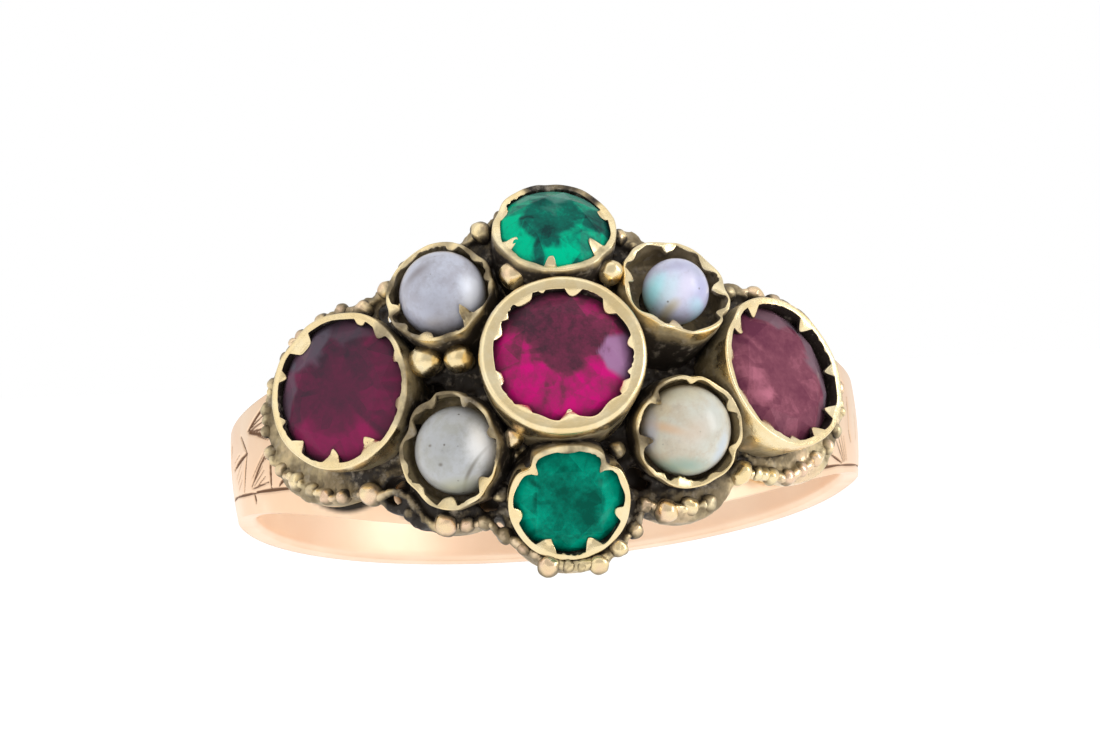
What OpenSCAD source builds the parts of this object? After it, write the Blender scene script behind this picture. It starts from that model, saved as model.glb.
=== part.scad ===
// Cluster ring: a tapered rose-gold shank that carries a domed yellow-gold head,
// scalloped round its edge, with nine closed settings: three rubies across the
// finger, two emeralds along it and four half-pearls between them.
//
// The ring is built round the finger axis (z), with its head towards -y, and is
// then laid on its side as it rests by itself: on two granules under the head
// and on the lower edge at the back of the shank. Millimetres throughout.

/* [Shank] */
// Radius of the finger hole
bore_r = 9.15; // [8.6:0.05:9.4]
// Metal thickness of the shank at its middle line
shank_t = 0.68; // [0.55:0.01:0.69]
// Width from the middle line to the lower edge at the back
low_half_w = 1.42; // [1.3:0.01:1.5]
// Width from the middle line to the upper edge at the back
up_half_w = 1.14; // [1:0.01:1.5]
// Radius of the curve by which the lower edge flares towards the head
flare_low_r = 27; // [24:1:34]
// Radius of the gentler curve of the upper edge
flare_up_r = 85; // [60:1:110]
// Where the flare starts, measured back from the finger axis
flare_start = 3; // [1:0.5:5]
// Radius of the crown across the outside of the shank
crown_r = 12; // [10:0.5:20]

/* [Head] */
// Outer radius of the base plate, from the finger axis
plate_r = 10.35; // [10.3:0.05:10.5]
// Inner radius of the base plate
plate_in_r = 9.6; // [9.5:0.05:9.75]

// Turn of the head against the shank, clockwise from the front, degrees
head_turn = 1.4; // [0:0.1:2]

/* [Collets] */
// Base radius of a collet as a share of its rim
base_share = 0.86; // [0.8:0.01:0.95]
// Depth of the straight band below the rim
band_h = 0.5; // [0.4:0.05:0.7]
// Bevel round the top outer edge
rim_bevel = 0.07; // [0.03:0.01:0.1]
// Thickness of a claw
claw_t = 0.15; // [0.12:0.01:0.2]

/* [Stones] */
// How far a cut stone's girdle lies below the rim
girdle_drop = 0.6; // [0.55:0.01:0.7]
// How far the rim laps over the girdle
lap = 0.1; // [0.06:0.01:0.14]
// Clear space between a stone and its setting
seat_gap = 0.035; // [0.03:0.005:0.06]
// Number of main facets on a cut stone
mains = 8; // [8:1:12]

/* [Resting] */
// Tilt of the finger axis as the ring rests on its side, degrees
rest_tilt = 13.5; // [13:0.1:14]
// Sideways roll in the same pose, degrees
rest_roll = 1.4; // [1:0.05:2]
// Height of the finger axis centre over the table
rest_height = 3.67; // [3.5:0.01:4]
// Forward shift that centres the ring over the origin
centre_shift = 1.70; // [1.5:0.01:1.9]

/* [Hidden] */

rose = "#e0a27c";
gold = "#c9ad6a";
ruby = "#8c1a4a";
emerald = "#0a8a64";
pearl = "#d9d3cc";

shank_r = bore_r + shank_t;
// How far a cutting shape runs past the face that it cuts
cut = 0.5;
round_fn = 96;
// Small steps inside a collet for a cut stone: the bevel below the rim's tabs,
// the ledge under the girdle and the clear space round the stone's point
tab_bevel = 0.06;
ledge = 0.2;
ledge_fall = 0.14;
tip_r = 0.3;
tip_gap = 0.12;
// Half the thickness of a cut stone's girdle
girdle_half = 0.035;
// How far below the rim the claws lie, and how deep they run into the wall
claw_drop = 0.02;
claw_root = 0.08;

// One row a setting. turn and z place the middle of the rim round and along the
// finger, and dist is its distance from the finger axis. face and lean are the
// directions that the rim looks in. rim is its outer radius, wall the metal at
// its top, depth the collet's whole depth.
//   name, turn, z, dist, face, lean, rim, wall, depth
SETTINGS = [
    ["centre",       -0.3,  0.10, 12.70,  -0.8,   7.0, 2.53, 0.40, 3.0],
    ["left",        -35.1,  0.00, 11.70, -33.8,   0.0, 2.43, 0.20, 2.0],
    ["right",        35.8,  0.00, 11.70,  40.0,   8.0, 2.41, 0.20, 2.3],
    ["top",          -0.1,  4.34, 11.40,   3.0,  31.0, 1.89, 0.20, 2.6],
    ["bottom",       -0.3, -4.22, 11.40,   0.3, -31.5, 1.85, 0.18, 2.6],
    ["upper_left",  -18.0,  2.52, 11.70, -18.3,  16.0, 1.76, 0.17, 2.3],
    ["upper_right",  17.6,  2.28, 11.70,  22.5,  24.0, 1.75, 0.17, 2.5],
    ["lower_left",  -17.8, -2.38, 11.70, -26.0, -10.5, 1.80, 0.17, 2.3],
    ["lower_right",  17.9, -2.15, 11.70,  15.0, -15.0, 1.74, 0.17, 2.3]];

// Claws round each rim: the angle that each stands at, anticlockwise from the
// right, then how far all of them reach in and their width at the rim.
//   name, reach, width, angles
CLAWS = [
    ["centre",      0.20, 0.42, [120, 78, 45, 7, -30, -87, -128, -163, 162]],
    ["left",        0.32, 0.50, [126, 72, 50, 22, -24, -70, -100, -132, -158, 160]],
    ["right",       0.32, 0.50, [112, 140, 172, 205, 236, 262, 290, 328, 8, 52]],
    ["top",         0.34, 0.60, [20, 92, 165, 232, 300]],
    ["bottom",      0.34, 0.55, [38, 142, 193, 243, 292, 345, 92]],
    ["upper_left",  0.22, 0.36, [30, 75, 118, 160, 205, 250, 318]],
    ["upper_right", 0.26, 0.40, [10, 48, 95, 158, 238, 300, 335]],
    ["lower_left",  0.22, 0.36, [25, 92, 128, 172, 215, 262, 312]],
    ["lower_right", 0.22, 0.36, [40, 96, 140, 196, 228, 275, 330]]];

// Cut stones: crown is the rise of the table over the girdle, table the radius
// of the table as a share of the girdle, deep the depth below the girdle.
//   name, crown, table, deep, turn
CUTS = [
    ["centre", 0.60, 0.60, 1.25, 10],
    ["left",   0.52, 0.66, 0.72, 0],
    ["right",  0.52, 0.66, 0.72, 12],
    ["top",    0.66, 0.52, 0.65, 5],
    ["bottom", 0.50, 0.60, 0.65, 22]];

// Half-pearls: the radius of the ball, how far its middle lies below the rim
// and how far below that it is cut flat.
//   name, ball, drop, flat
PEARLS = [
    ["upper_left",  1.36, 0.86, 0.22],
    ["upper_right", 1.12, 1.15, 0.22],
    ["lower_left",  1.38, 0.90, 0.22],
    ["lower_right", 1.36, 0.86, 0.22]];

// Lobes of the base plate: turn round the finger, place along it and radius.
//   turn, z, radius
LOBES = [
    [0, 0, 3.2], [42, -0.15, 2.92], [-42, -0.15, 2.92], [26, 0, 2.5], [-26, 0, 2.5],
    [0, 3.6, 2.05], [0, -4.02, 2.02], [19, 2.25, 2.1], [-19, 2.25, 2.1],
    [19, -2.5, 2.1], [-19, -2.5, 2.1], [11.6, 3.7, 0.95], [-11.6, 3.75, 0.98],
    [32, 2.15, 0.95], [-33, 2.15, 0.95]];

// Granules on the plate: turn round the finger, place along it, distance of the
// middle from the finger axis, and radius.
//   turn, z, dist, radius
GRANULES = [
    // along the lower edge, left to right
    [-57.2, -0.95, 10.38, 0.24], [-54.4, -1.58, 10.38, 0.25],
    [-50.6, -2.10, 10.38, 0.29], [-47.0, -2.50, 10.38, 0.25],
    [-43.6, -2.80, 10.38, 0.26], [-40.2, -2.92, 10.38, 0.24],
    [-34.3, -3.06, 10.45, 0.38], [-27.0, -3.85, 10.38, 0.26],
    [-20.8, -4.34, 10.45, 0.37], [-17.2, -4.42, 10.38, 0.25],
    [-14.2, -4.38, 10.38, 0.26], [-11.0, -4.85, 10.38, 0.28],
    [-7.8, -5.26, 10.38, 0.26], [-4.0, -5.91, 10.38, 0.34],
    [-0.8, -5.94, 10.38, 0.21], [1.4, -5.95, 10.38, 0.19],
    [4.4, -5.93, 10.38, 0.32], [7.6, -5.42, 10.40, 0.31],
    [10.7, -4.86, 10.38, 0.26], [12.6, -4.12, 10.40, 0.26],
    [16.3, -4.32, 10.45, 0.39], [20.6, -4.10, 10.40, 0.31],
    [24.4, -3.98, 10.38, 0.27], [30.8, -3.00, 10.45, 0.37],
    [34.5, -2.94, 10.38, 0.24], [37.6, -2.97, 10.38, 0.27],
    [41.2, -2.94, 10.38, 0.27], [44.8, -2.62, 10.38, 0.27],
    [48.8, -2.20, 10.38, 0.27], [53.0, -1.70, 10.38, 0.26],
    // along the upper edge, right to left
    [53.0, 1.40, 10.38, 0.26], [48.8, 1.95, 10.38, 0.26],
    [44.8, 2.30, 10.38, 0.26], [40.6, 2.55, 10.38, 0.26],
    [36.0, 2.66, 10.45, 0.31], [30.8, 2.62, 10.38, 0.27],
    [26.8, 3.02, 10.38, 0.26], [23.0, 3.50, 10.38, 0.26],
    [18.6, 3.76, 10.38, 0.26], [14.4, 3.72, 10.38, 0.26],
    [11.2, 4.22, 10.38, 0.27], [8.0, 4.82, 10.38, 0.26],
    [4.0, 5.38, 10.38, 0.26], [0.0, 5.50, 10.38, 0.26],
    [-4.0, 5.38, 10.38, 0.26], [-8.4, 4.98, 10.38, 0.26],
    [-12.1, 4.60, 10.38, 0.27], [-16.4, 4.05, 10.38, 0.26],
    [-20.8, 4.00, 10.38, 0.26], [-25.5, 3.75, 10.38, 0.25],
    [-29.2, 3.18, 10.38, 0.28], [-33.8, 2.68, 10.42, 0.33],
    [-38.4, 2.78, 10.38, 0.26], [-42.8, 2.66, 10.38, 0.26],
    [-47.4, 2.30, 10.38, 0.26], [-51.5, 1.80, 10.38, 0.26],
    // between the settings
    [-23.4, 0.75, 10.62, 0.49], [-17.6, 0.70, 10.70, 0.44],
    [-7.5, 3.05, 10.85, 0.36], [9.0, 3.02, 10.80, 0.33],
    [-7.9, -2.35, 10.85, 0.33], [8.3, -2.45, 10.70, 0.30],
    [-11.2, -3.55, 10.50, 0.30], [26.5, -0.35, 10.45, 0.34]];

// Pierced gaps through the plate: turn round the finger, place along it and
// radius.
//   turn, z, radius
GAPS = [[-22.6, -0.35, 0.50], [25.4, 0.95, 0.55], [-12.4, 2.95, 0.40],
        [12.2, 2.90, 0.38], [-13.4, -3.60, 0.42], [12.2, -3.20, 0.42],
        [-29.8, 2.50, 0.34], [-29.8, -3.05, 0.42]];

function row(table, name) = [for (r = table) if (r[0] == name) r][0];

// Lays a piece out from the finger axis: turn degrees round it, dist away and z
// along it, then faces it and leans it, so that its own z points outwards.
module at_rim(s) {
    translate([s[3] * sin(s[1]), -s[3] * cos(s[1]), s[2]])
        rotate([0, 0, s[4]]) rotate([90 - s[5], 0, 0]) children();
}

module radial(turn, z) {
    translate([0, 0, z]) rotate([90, 0, turn]) children();
}

// The ring as it rests on its side, centred over the origin.
module resting() {
    translate([0, centre_shift, rest_height])
        rotate([0, -rest_roll, 0]) rotate([-rest_tilt, 0, 0]) children();
}

// The head sits on the shank with a slight turn.
module on_shank() {
    rotate([0, head_turn, 0]) children();
}

// Half section of the shank: crowned outside, and reaching in past the finger
// hole, which is cut last.
module shank_section() {
    wide = 5;
    intersection() {
        translate([shank_r - crown_r, 0]) circle(r = crown_r, $fn = 180);
        translate([bore_r - cut, -wide]) square([shank_t + 2 * cut, 2 * wide]);
    }
}

// Side outline of the shank, seen along x: a narrow back, then edges that flare
// out on two large arcs towards the head.
module shank_outline() {
    far = shank_r + 1;
    tall = 4.4;
    ease = 0.4;
    difference() {
        translate([-far, -tall]) square([2 * far, 2 * tall]);
        for (side = [-1, 1]) {
            flare = side > 0 ? flare_up_r : flare_low_r;
            half = side > 0 ? up_half_w : low_half_w;
            translate([ease - flare_start, side * (half + flare)])
                circle(r = flare, $fn = 720);
            translate([-far - cut, side > 0 ? half : -half - tall])
                square([far + cut - flare_start, tall]);
        }
    }
}

module shank_body() {
    intersection() {
        rotate_extrude($fn = round_fn) shank_section();
        rotate([90, 0, -90]) translate([0, 0, -shank_r - 1])
            linear_extrude(2 * shank_r + 2) shank_outline();
    }
}

// Scalloped outline of the base plate, as round bars that stand out from the
// finger axis.
module plate_lobes() {
    for (l = LOBES)
        radial(l[0], l[1]) cylinder(r = l[2], h = 12, $fn = round_fn);
}

module base_plate() {
    intersection() {
        cylinder(r = plate_r, h = 14, center = true, $fn = round_fn);
        plate_lobes();
    }
}

// Solid outside of a collet, its rim at z = 0.
module collet_outside(s) {
    rim = s[6];
    rotate_extrude($fn = 72)
        polygon([[0, 0], [rim - rim_bevel, 0], [rim, -rim_bevel],
                 [rim, -band_h], [rim * base_share, -s[8]], [0, -s[8]]]);
}

// Space for a cut stone: the opening, the seat and the tapered hollow below.
module cut_hollow(s) {
    c = row(CUTS, s[0]);
    open = s[6] - s[7];
    seat = open + lap + seat_gap;
    low = -girdle_drop - seat_gap - girdle_half;
    base = -girdle_drop - c[3] - tip_gap;
    rotate_extrude($fn = 72)
        polygon([[0, cut], [open, cut], [open, -claw_t - tab_bevel],
                 [seat, -claw_t - 2 * tab_bevel], [seat, low],
                 [seat - ledge, low - ledge_fall], [tip_r, base], [0, base]]);
}

// Space for a half-pearl: a straight well with a flat floor.
module pearl_hollow(s) {
    p = row(PEARLS, s[0]);
    open = s[6] - s[7];
    well_lip = 0.1;
    well_room = 0.05;
    base = -p[2] - p[3] - seat_gap;
    rotate_extrude($fn = 72)
        polygon([[0, cut], [open, cut], [open, well_lip - p[2]],
                 [p[1] + well_room, base], [0, base]]);
}

// Claws: flat pointed tabs cut from the rim and folded in over the stone.
module claws(s) {
    c = row(CLAWS, s[0]);
    root = s[6] - s[7] + claw_root;
    bend = s[6] - s[7] - 0.45 * c[1];
    tip = s[6] - s[7] - c[1];
    wide = [0.5, 0.3, 0.1] * c[2];
    for (angle = c[3])
        rotate([0, 0, angle]) translate([0, 0, -claw_t - claw_drop])
            linear_extrude(claw_t)
                polygon([[root, -wide[0]], [root, wide[0]], [bend, wide[1]],
                         [tip, wide[2]], [tip, -wide[2]], [bend, -wide[1]]]);
}

// One of the granules on the plate.
module granule(k) {
    g = GRANULES[k];
    rotate([0, 0, g[0]]) translate([0, -g[2], g[1]])
        sphere(r = g[3], $fn = 20);
}

// The pierced base plate with granules on it, joined four at a time.
module studded_plate(fours) {
    union() {
        if (fours > 0) studded_plate(fours - 1);
        else pierced_plate();
        granule(4 * fours);
        granule(4 * fours + 1);
        granule(4 * fours + 2);
        granule(4 * fours + 3);
    }
}

module pierced_plate() {
    difference() {
        base_plate();
        for (g = GAPS)
            radial(g[0], g[1]) cylinder(r = g[2], h = 12, $fn = 32);
    }
}

// The head: pierced base plate, nine collets and granules, hollowed for the
// stones, then the claws.
module head() {
    difference() {
        union() {
            studded_plate(len(GRANULES) / 4 - 1);
            for (s = SETTINGS) at_rim(s) collet_outside(s);
        }
        cylinder(r = plate_in_r, h = 16, center = true, $fn = round_fn);
        for (s = SETTINGS) at_rim(s)
            if (len([for (c = CUTS) if (c[0] == s[0]) 1]) > 0)
                cut_hollow(s);
            else
                pearl_hollow(s);
    }
    for (s = SETTINGS) at_rim(s) claws(s);
}

// All the gold is soldered into one solid: the shank and the head on it.
module ring_mount() {
    color(gold) resting() difference() {
        union() {
            shank_body();
            on_shank() head();
        }
        cylinder(r = bore_r, h = 16, center = true, $fn = round_fn);
    }
}

// Brilliant-style cut: a table, star, kite and girdle facets above, plain
// facets to a point below. The girdle is at z = 0.
module cut_stone(r, crown, table, deep) {
    n = mains;
    rt = r * table;
    kite = 1.04;
    rm = kite * (r + rt) / 2;
    zm = crown * (r - rm * cos(180 / n)) / (r - rt);
    g = girdle_half;
    function ring(rad, z, off) =
        [for (k = [0:n - 1]) [rad * cos((k + off) * 360 / n),
                              rad * sin((k + off) * 360 / n), z]];
    points = concat(ring(rt, crown, 0), ring(rm, zm, 0.5),
                    ring(r, g, 0), ring(r, g, 0.5),
                    ring(r, -g, 0), ring(r, -g, 0.5), [[0, 0, -deep]]);
    function at(band, k) = band * n + (k % n);
    faces = concat(
        [[for (k = [0:n - 1]) at(0, n - 1 - k)]],
        [for (k = [0:n - 1]) [at(0, k), at(0, k + 1), at(1, k)]],
        [for (k = [0:n - 1]) [at(0, k), at(1, k), at(2, k)]],
        [for (k = [0:n - 1]) [at(0, k + 1), at(2, k + 1), at(1, k)]],
        [for (k = [0:n - 1]) [at(1, k), at(3, k), at(2, k)]],
        [for (k = [0:n - 1]) [at(1, k), at(2, k + 1), at(3, k)]],
        [for (k = [0:n - 1]) [at(2, k), at(3, k), at(5, k), at(4, k)]],
        [for (k = [0:n - 1]) [at(3, k), at(2, k + 1), at(4, k + 1), at(5, k)]],
        [for (k = [0:n - 1]) [at(4, k), at(5, k), 6 * n]],
        [for (k = [0:n - 1]) [at(5, k), at(4, k + 1), 6 * n]]);
    polyhedron(points, faces);
}

module gem(name, shade) {
    s = row(SETTINGS, name);
    c = row(CUTS, name);
    color(shade) resting() on_shank() at_rim(s) translate([0, 0, -girdle_drop])
        rotate([0, 0, c[4]])
            cut_stone(s[6] - s[7] + lap, c[1], c[2], c[3]);
}

module half_pearl(name) {
    s = row(SETTINGS, name);
    p = row(PEARLS, name);
    color(pearl) resting() on_shank() at_rim(s) translate([0, 0, -p[2]])
        difference() {
            sphere(r = p[1], $fn = 72);
            translate([0, 0, -p[3] - p[1]])
                cube([3 * p[1], 3 * p[1], 2 * p[1]], center = true);
        }
}

module centre_ruby() { gem("centre", ruby); }
module left_ruby() { gem("left", ruby); }
module right_ruby() { gem("right", ruby); }
module top_emerald() { gem("top", emerald); }
module bottom_emerald() { gem("bottom", emerald); }
module upper_left_pearl() { half_pearl("upper_left"); }
module upper_right_pearl() { half_pearl("upper_right"); }
module lower_left_pearl() { half_pearl("lower_left"); }
module lower_right_pearl() { half_pearl("lower_right"); }

ring_mount();
centre_ruby();
left_ruby();
right_ruby();
top_emerald();
bottom_emerald();
upper_left_pearl();
upper_right_pearl();
lower_left_pearl();
lower_right_pearl();
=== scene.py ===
import bmesh
import bpy
import math
import numpy as np
from mathutils import Matrix, Vector
from mathutils.bvhtree import BVHTree


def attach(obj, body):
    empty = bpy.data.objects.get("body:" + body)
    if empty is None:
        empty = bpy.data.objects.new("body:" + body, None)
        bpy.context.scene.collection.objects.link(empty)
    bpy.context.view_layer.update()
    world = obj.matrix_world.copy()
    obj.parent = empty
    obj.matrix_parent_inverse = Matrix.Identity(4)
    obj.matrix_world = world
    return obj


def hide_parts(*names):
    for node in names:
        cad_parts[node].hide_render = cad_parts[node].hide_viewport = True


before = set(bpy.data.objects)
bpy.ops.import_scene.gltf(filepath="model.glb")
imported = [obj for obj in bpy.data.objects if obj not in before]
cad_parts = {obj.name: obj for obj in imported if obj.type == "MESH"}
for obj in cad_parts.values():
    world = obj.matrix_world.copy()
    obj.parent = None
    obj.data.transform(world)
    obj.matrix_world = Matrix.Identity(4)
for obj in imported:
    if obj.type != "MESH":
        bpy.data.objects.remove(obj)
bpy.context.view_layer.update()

# All shapes are worked out in millimetres, in the ring's own frame: x across
# the finger, -y towards the head, z along the finger.
MM = 0.001
BORE = 9.15
SHANK_T = 0.68
UP_HALF_W = 1.14
LOW_HALF_W = 1.42
FLARE_UP_R = 85.0
FLARE_LOW_R = 27.0
FLARE_START = 2.6
PLATE_IN = 9.6
PLATE_OUT = 10.35
REST_TILT = 13.5
REST_ROLL = 1.4
REST_HEIGHT = 3.67
CENTRE_SHIFT = 1.70
HEAD_TURN = 1.4


def turned(angle, axis):
    return Matrix.Rotation(math.radians(angle), 4, axis)


RESTING = (Matrix.Translation((0, CENTRE_SHIFT, REST_HEIGHT))
           @ turned(-REST_ROLL, "Y") @ turned(-REST_TILT, "X"))
ON_SHANK = RESTING @ turned(HEAD_TURN, "Y")

# name, turn, z, dist, face, lean, rim, wall, depth, wobble of the rim
SETTINGS = [
    ("centre",       -0.3,  0.10, 12.70,  -0.8,   7.0, 2.53, 0.40, 3.0, 0.015),
    ("left",        -35.1,  0.00, 11.70, -33.8,   0.0, 2.43, 0.20, 2.0, 0.030),
    ("right",        35.8,  0.00, 11.70,  40.0,   8.0, 2.41, 0.20, 2.3, 0.025),
    ("top",          -0.1,  4.34, 11.40,   3.0,  31.0, 1.89, 0.20, 2.6, 0.035),
    ("bottom",       -0.3, -4.22, 11.40,   0.3, -31.5, 1.85, 0.18, 2.6, 0.015),
    ("upper_left",  -18.0,  2.59, 11.70, -18.3,  16.0, 1.70, 0.17, 2.3, 0.055),
    ("upper_right",  17.9,  2.39, 11.70,  22.5,  24.0, 1.78, 0.17, 2.5, 0.045),
    ("lower_left",  -17.8, -2.38, 11.70, -26.0, -10.5, 1.80, 0.17, 2.3, 0.060),
    ("lower_right",  18.5, -2.13, 11.70,  15.0, -15.0, 1.72, 0.17, 2.3, 0.050)]

# Claws round each rim: angle, reach inwards, width, squareness of the tab, and
# how far the rim is pinched in there.
CLAWS = {
    "centre": [
        (121, 0.21, 0.78, 4.0, 0.00), (104, 0.08, 0.25, 2.0, 0.00),
        (78, 0.23, 0.62, 2.2, 0.00), (44, 0.23, 0.72, 2.0, 0.00),
        (7, 0.17, 0.53, 2.0, 0.00), (-18, 0.10, 0.30, 1.6, 0.00),
        (-32, 0.22, 0.65, 3.0, 0.00), (-88, 0.31, 0.72, 1.6, 0.00),
        (-127, 0.24, 0.70, 1.6, 0.00), (-161, 0.20, 0.60, 4.0, 0.00),
        (158, 0.21, 0.70, 1.6, 0.00), (143, 0.10, 0.38, 2.0, 0.00)],
    "left": [
        (128, 0.34, 0.93, 3.5, 0.04), (67, 0.19, 0.43, 3.0, 0.00),
        (46, 0.22, 0.58, 1.6, 0.00), (19, 0.18, 0.38, 3.0, 0.03),
        (-19, 0.21, 0.43, 3.0, 0.02), (-63, 0.45, 0.83, 1.6, 0.00),
        (-101, 0.43, 0.65, 1.6, 0.00), (-138, 0.26, 0.58, 1.6, 0.00),
        (-164, 0.12, 0.33, 1.6, 0.00), (159, 0.18, 0.40, 1.6, 0.00)],
    "right": [
        (112, 0.36, 0.58, 1.6, 0.00), (140, 0.38, 0.58, 2.4, 0.05),
        (172, 0.26, 0.55, 1.8, 0.02), (208, 0.29, 0.58, 2.6, 0.02),
        (240, 0.34, 0.62, 1.8, 0.00), (270, 0.19, 0.45, 1.6, 0.00),
        (300, 0.26, 0.62, 1.6, 0.00), (330, 0.29, 0.55, 1.6, 0.00),
        (8, 0.26, 0.45, 1.6, 0.00), (52, 0.31, 0.58, 1.6, 0.00)],
    "top": [
        (17, 0.21, 0.55, 4.0, 0.02), (155, 0.12, 0.75, 2.0, 0.10),
        (205, 0.34, 0.43, 3.0, 0.03), (260, 0.34, 0.43, 3.5, 0.02),
        (321, 0.38, 0.58, 2.4, 0.10), (92, 0.03, 0.50, 2.0, 0.04)],
    "bottom": [
        (44, 0.14, 0.43, 1.6, 0.20), (136, 0.14, 0.47, 1.6, 0.22),
        (192, 0.22, 0.55, 2.6, 0.00), (243, 0.38, 0.78, 1.6, 0.00),
        (296, 0.36, 0.62, 1.6, 0.00), (345, 0.24, 0.50, 2.6, 0.00),
        (90, 0.10, 0.75, 2.0, 0.02)],
    "upper_left": [
        (-48, 0.34, 0.62, 2.4, 0.10), (-103, 0.20, 0.50, 3.0, 0.04),
        (-137, 0.16, 0.55, 2.0, 0.04), (-163, 0.24, 0.43, 2.0, 0.05),
        (12, 0.12, 0.38, 2.0, 0.08), (42, 0.12, 0.58, 2.0, 0.06),
        (76, 0.14, 0.43, 2.0, 0.03), (128, 0.10, 0.88, 2.0, 0.04)],
    "upper_right": [
        (84, 0.20, 0.55, 3.5, 0.04), (38, 0.16, 0.75, 2.0, 0.03),
        (2, 0.22, 0.58, 3.5, 0.04), (-32, 0.10, 0.50, 2.0, 0.16),
        (-105, 0.29, 0.53, 2.6, 0.10), (166, 0.26, 0.58, 3.0, 0.10),
        (138, 0.08, 0.62, 2.0, 0.05)],
    "lower_left": [
        (62, 0.21, 0.35, 3.0, 0.06), (108, 0.16, 0.58, 2.0, 0.10),
        (12, 0.22, 0.45, 3.0, 0.06), (-48, 0.26, 0.62, 2.4, 0.14),
        (-102, 0.29, 0.70, 3.4, 0.02), (-142, 0.14, 0.62, 2.0, 0.06),
        (150, 0.16, 0.75, 2.0, 0.12), (-170, 0.10, 0.50, 2.0, 0.04)],
    "lower_right": [
        (138, 0.20, 0.43, 3.0, 0.08), (192, 0.26, 0.47, 3.0, 0.03),
        (88, 0.08, 0.38, 1.6, 0.07), (30, 0.18, 0.50, 2.0, 0.06),
        (-20, 0.08, 0.43, 2.0, 0.08), (-58, 0.08, 0.50, 2.0, 0.05),
        (-122, 0.12, 0.45, 2.0, 0.06), (-92, 0.16, 1.12, 2.0, 0.00)]}

# name, crown height, table share, depth below the girdle, turn
CUTS = {
    "centre": (0.60, 0.60, 1.25, 10),
    "left": (0.52, 0.66, 0.72, 0),
    "right": (0.52, 0.66, 0.72, 12),
    "top": (0.66, 0.52, 0.65, 5),
    "bottom": (0.50, 0.60, 0.65, 22)}
GIRDLE_DROP = 0.6
LAP = 0.1

# How far each stone stands up out of its seat.
LIFT = {"centre": 0.10, "left": 0.14, "right": 0.0, "top": 0.34, "bottom": 0.12}

# How dull each collet is, and arcs that are duller: angle, half spread, amount.
DULLNESS = {
    "centre": (-0.10, []),
    "left": (0.04, [(15, 50, 0.26)]),
    "right": (0.02, [(90, 40, 0.15)]),
    "top": (0.06, [(80, 48, 0.62), (-90, 60, 0.16)]),
    "bottom": (0.06, [(90, 50, 0.20)]),
    "upper_left": (0.22, [(20, 44, 0.28), (-104, 38, 0.24), (180, 30, 0.12)]),
    "upper_right": (0.08, [(-60, 40, 0.14)]),
    "lower_left": (0.20, [(115, 66, 0.30), (10, 46, 0.20)]),
    "lower_right": (0.14, [(170, 55, 0.20), (20, 50, 0.14), (-100, 30, 0.12)])}

# How the outside of each collet's wall darkens towards its foot: how far below the rim that starts,
# over how far, and how much. Then how dark the inside of its wall is, which is painted shade in the
# well.
DARK_WALLS = {
    "centre": (0.25, 1.1, 0.34), "left": (0.25, 1.1, 0.34), "right": (0.25, 1.1, 0.34),
    "top": (0.10, 0.40, 0.80), "bottom": (0.25, 1.1, 0.80), "upper_left": (0.12, 0.6, 0.75),
    "upper_right": (0.20, 0.9, 0.85), "lower_left": (0.15, 0.7, 0.62),
    "lower_right": (0.15, 0.7, 0.62)}
LININGS = {"upper_left": 0.46, "upper_right": 0.46, "lower_left": 0.42, "lower_right": 0.36}

# The foot of a collet is this share of its rim.
FOOT_SHARE = 0.86

# The lower left rim is pressed into a slight oval.
OVAL = {"lower_left": 0.91}

# name, radius of the ball, drop below the rim, cut below the middle, and how far
# it sits to the right and up in its setting
PEARLS = {
    "upper_left": (1.34, 0.48, 0.58, 0.00, 0.10),
    "upper_right": (1.03, 0.42, 0.75, 0.16, 0.12),
    "lower_left": (1.36, 0.77, 0.35, 0.02, 0.00),
    "lower_right": (1.40, 0.60, 0.48, 0.06, 0.03)}

# Lobes of the base plate: turn, z, radius.
LOBES = [
    (0, 0, 3.2), (42, -0.15, 2.92), (-42, -0.15, 2.92), (26, 0, 2.5), (-26, 0, 2.5),
    (0, 3.6, 2.05), (0, -4.02, 2.02), (18.5, 2.15, 1.95), (-19, 2.25, 2.1),
    (19, -2.5, 2.1), (-19, -2.5, 2.1), (11.6, 3.6, 0.92), (-11.6, 3.75, 0.98),
    (32, 2.10, 0.90), (-33, 2.15, 0.95), (-29.2, -3.05, 0.72), (-25.2, -3.72, 0.62)]

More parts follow.
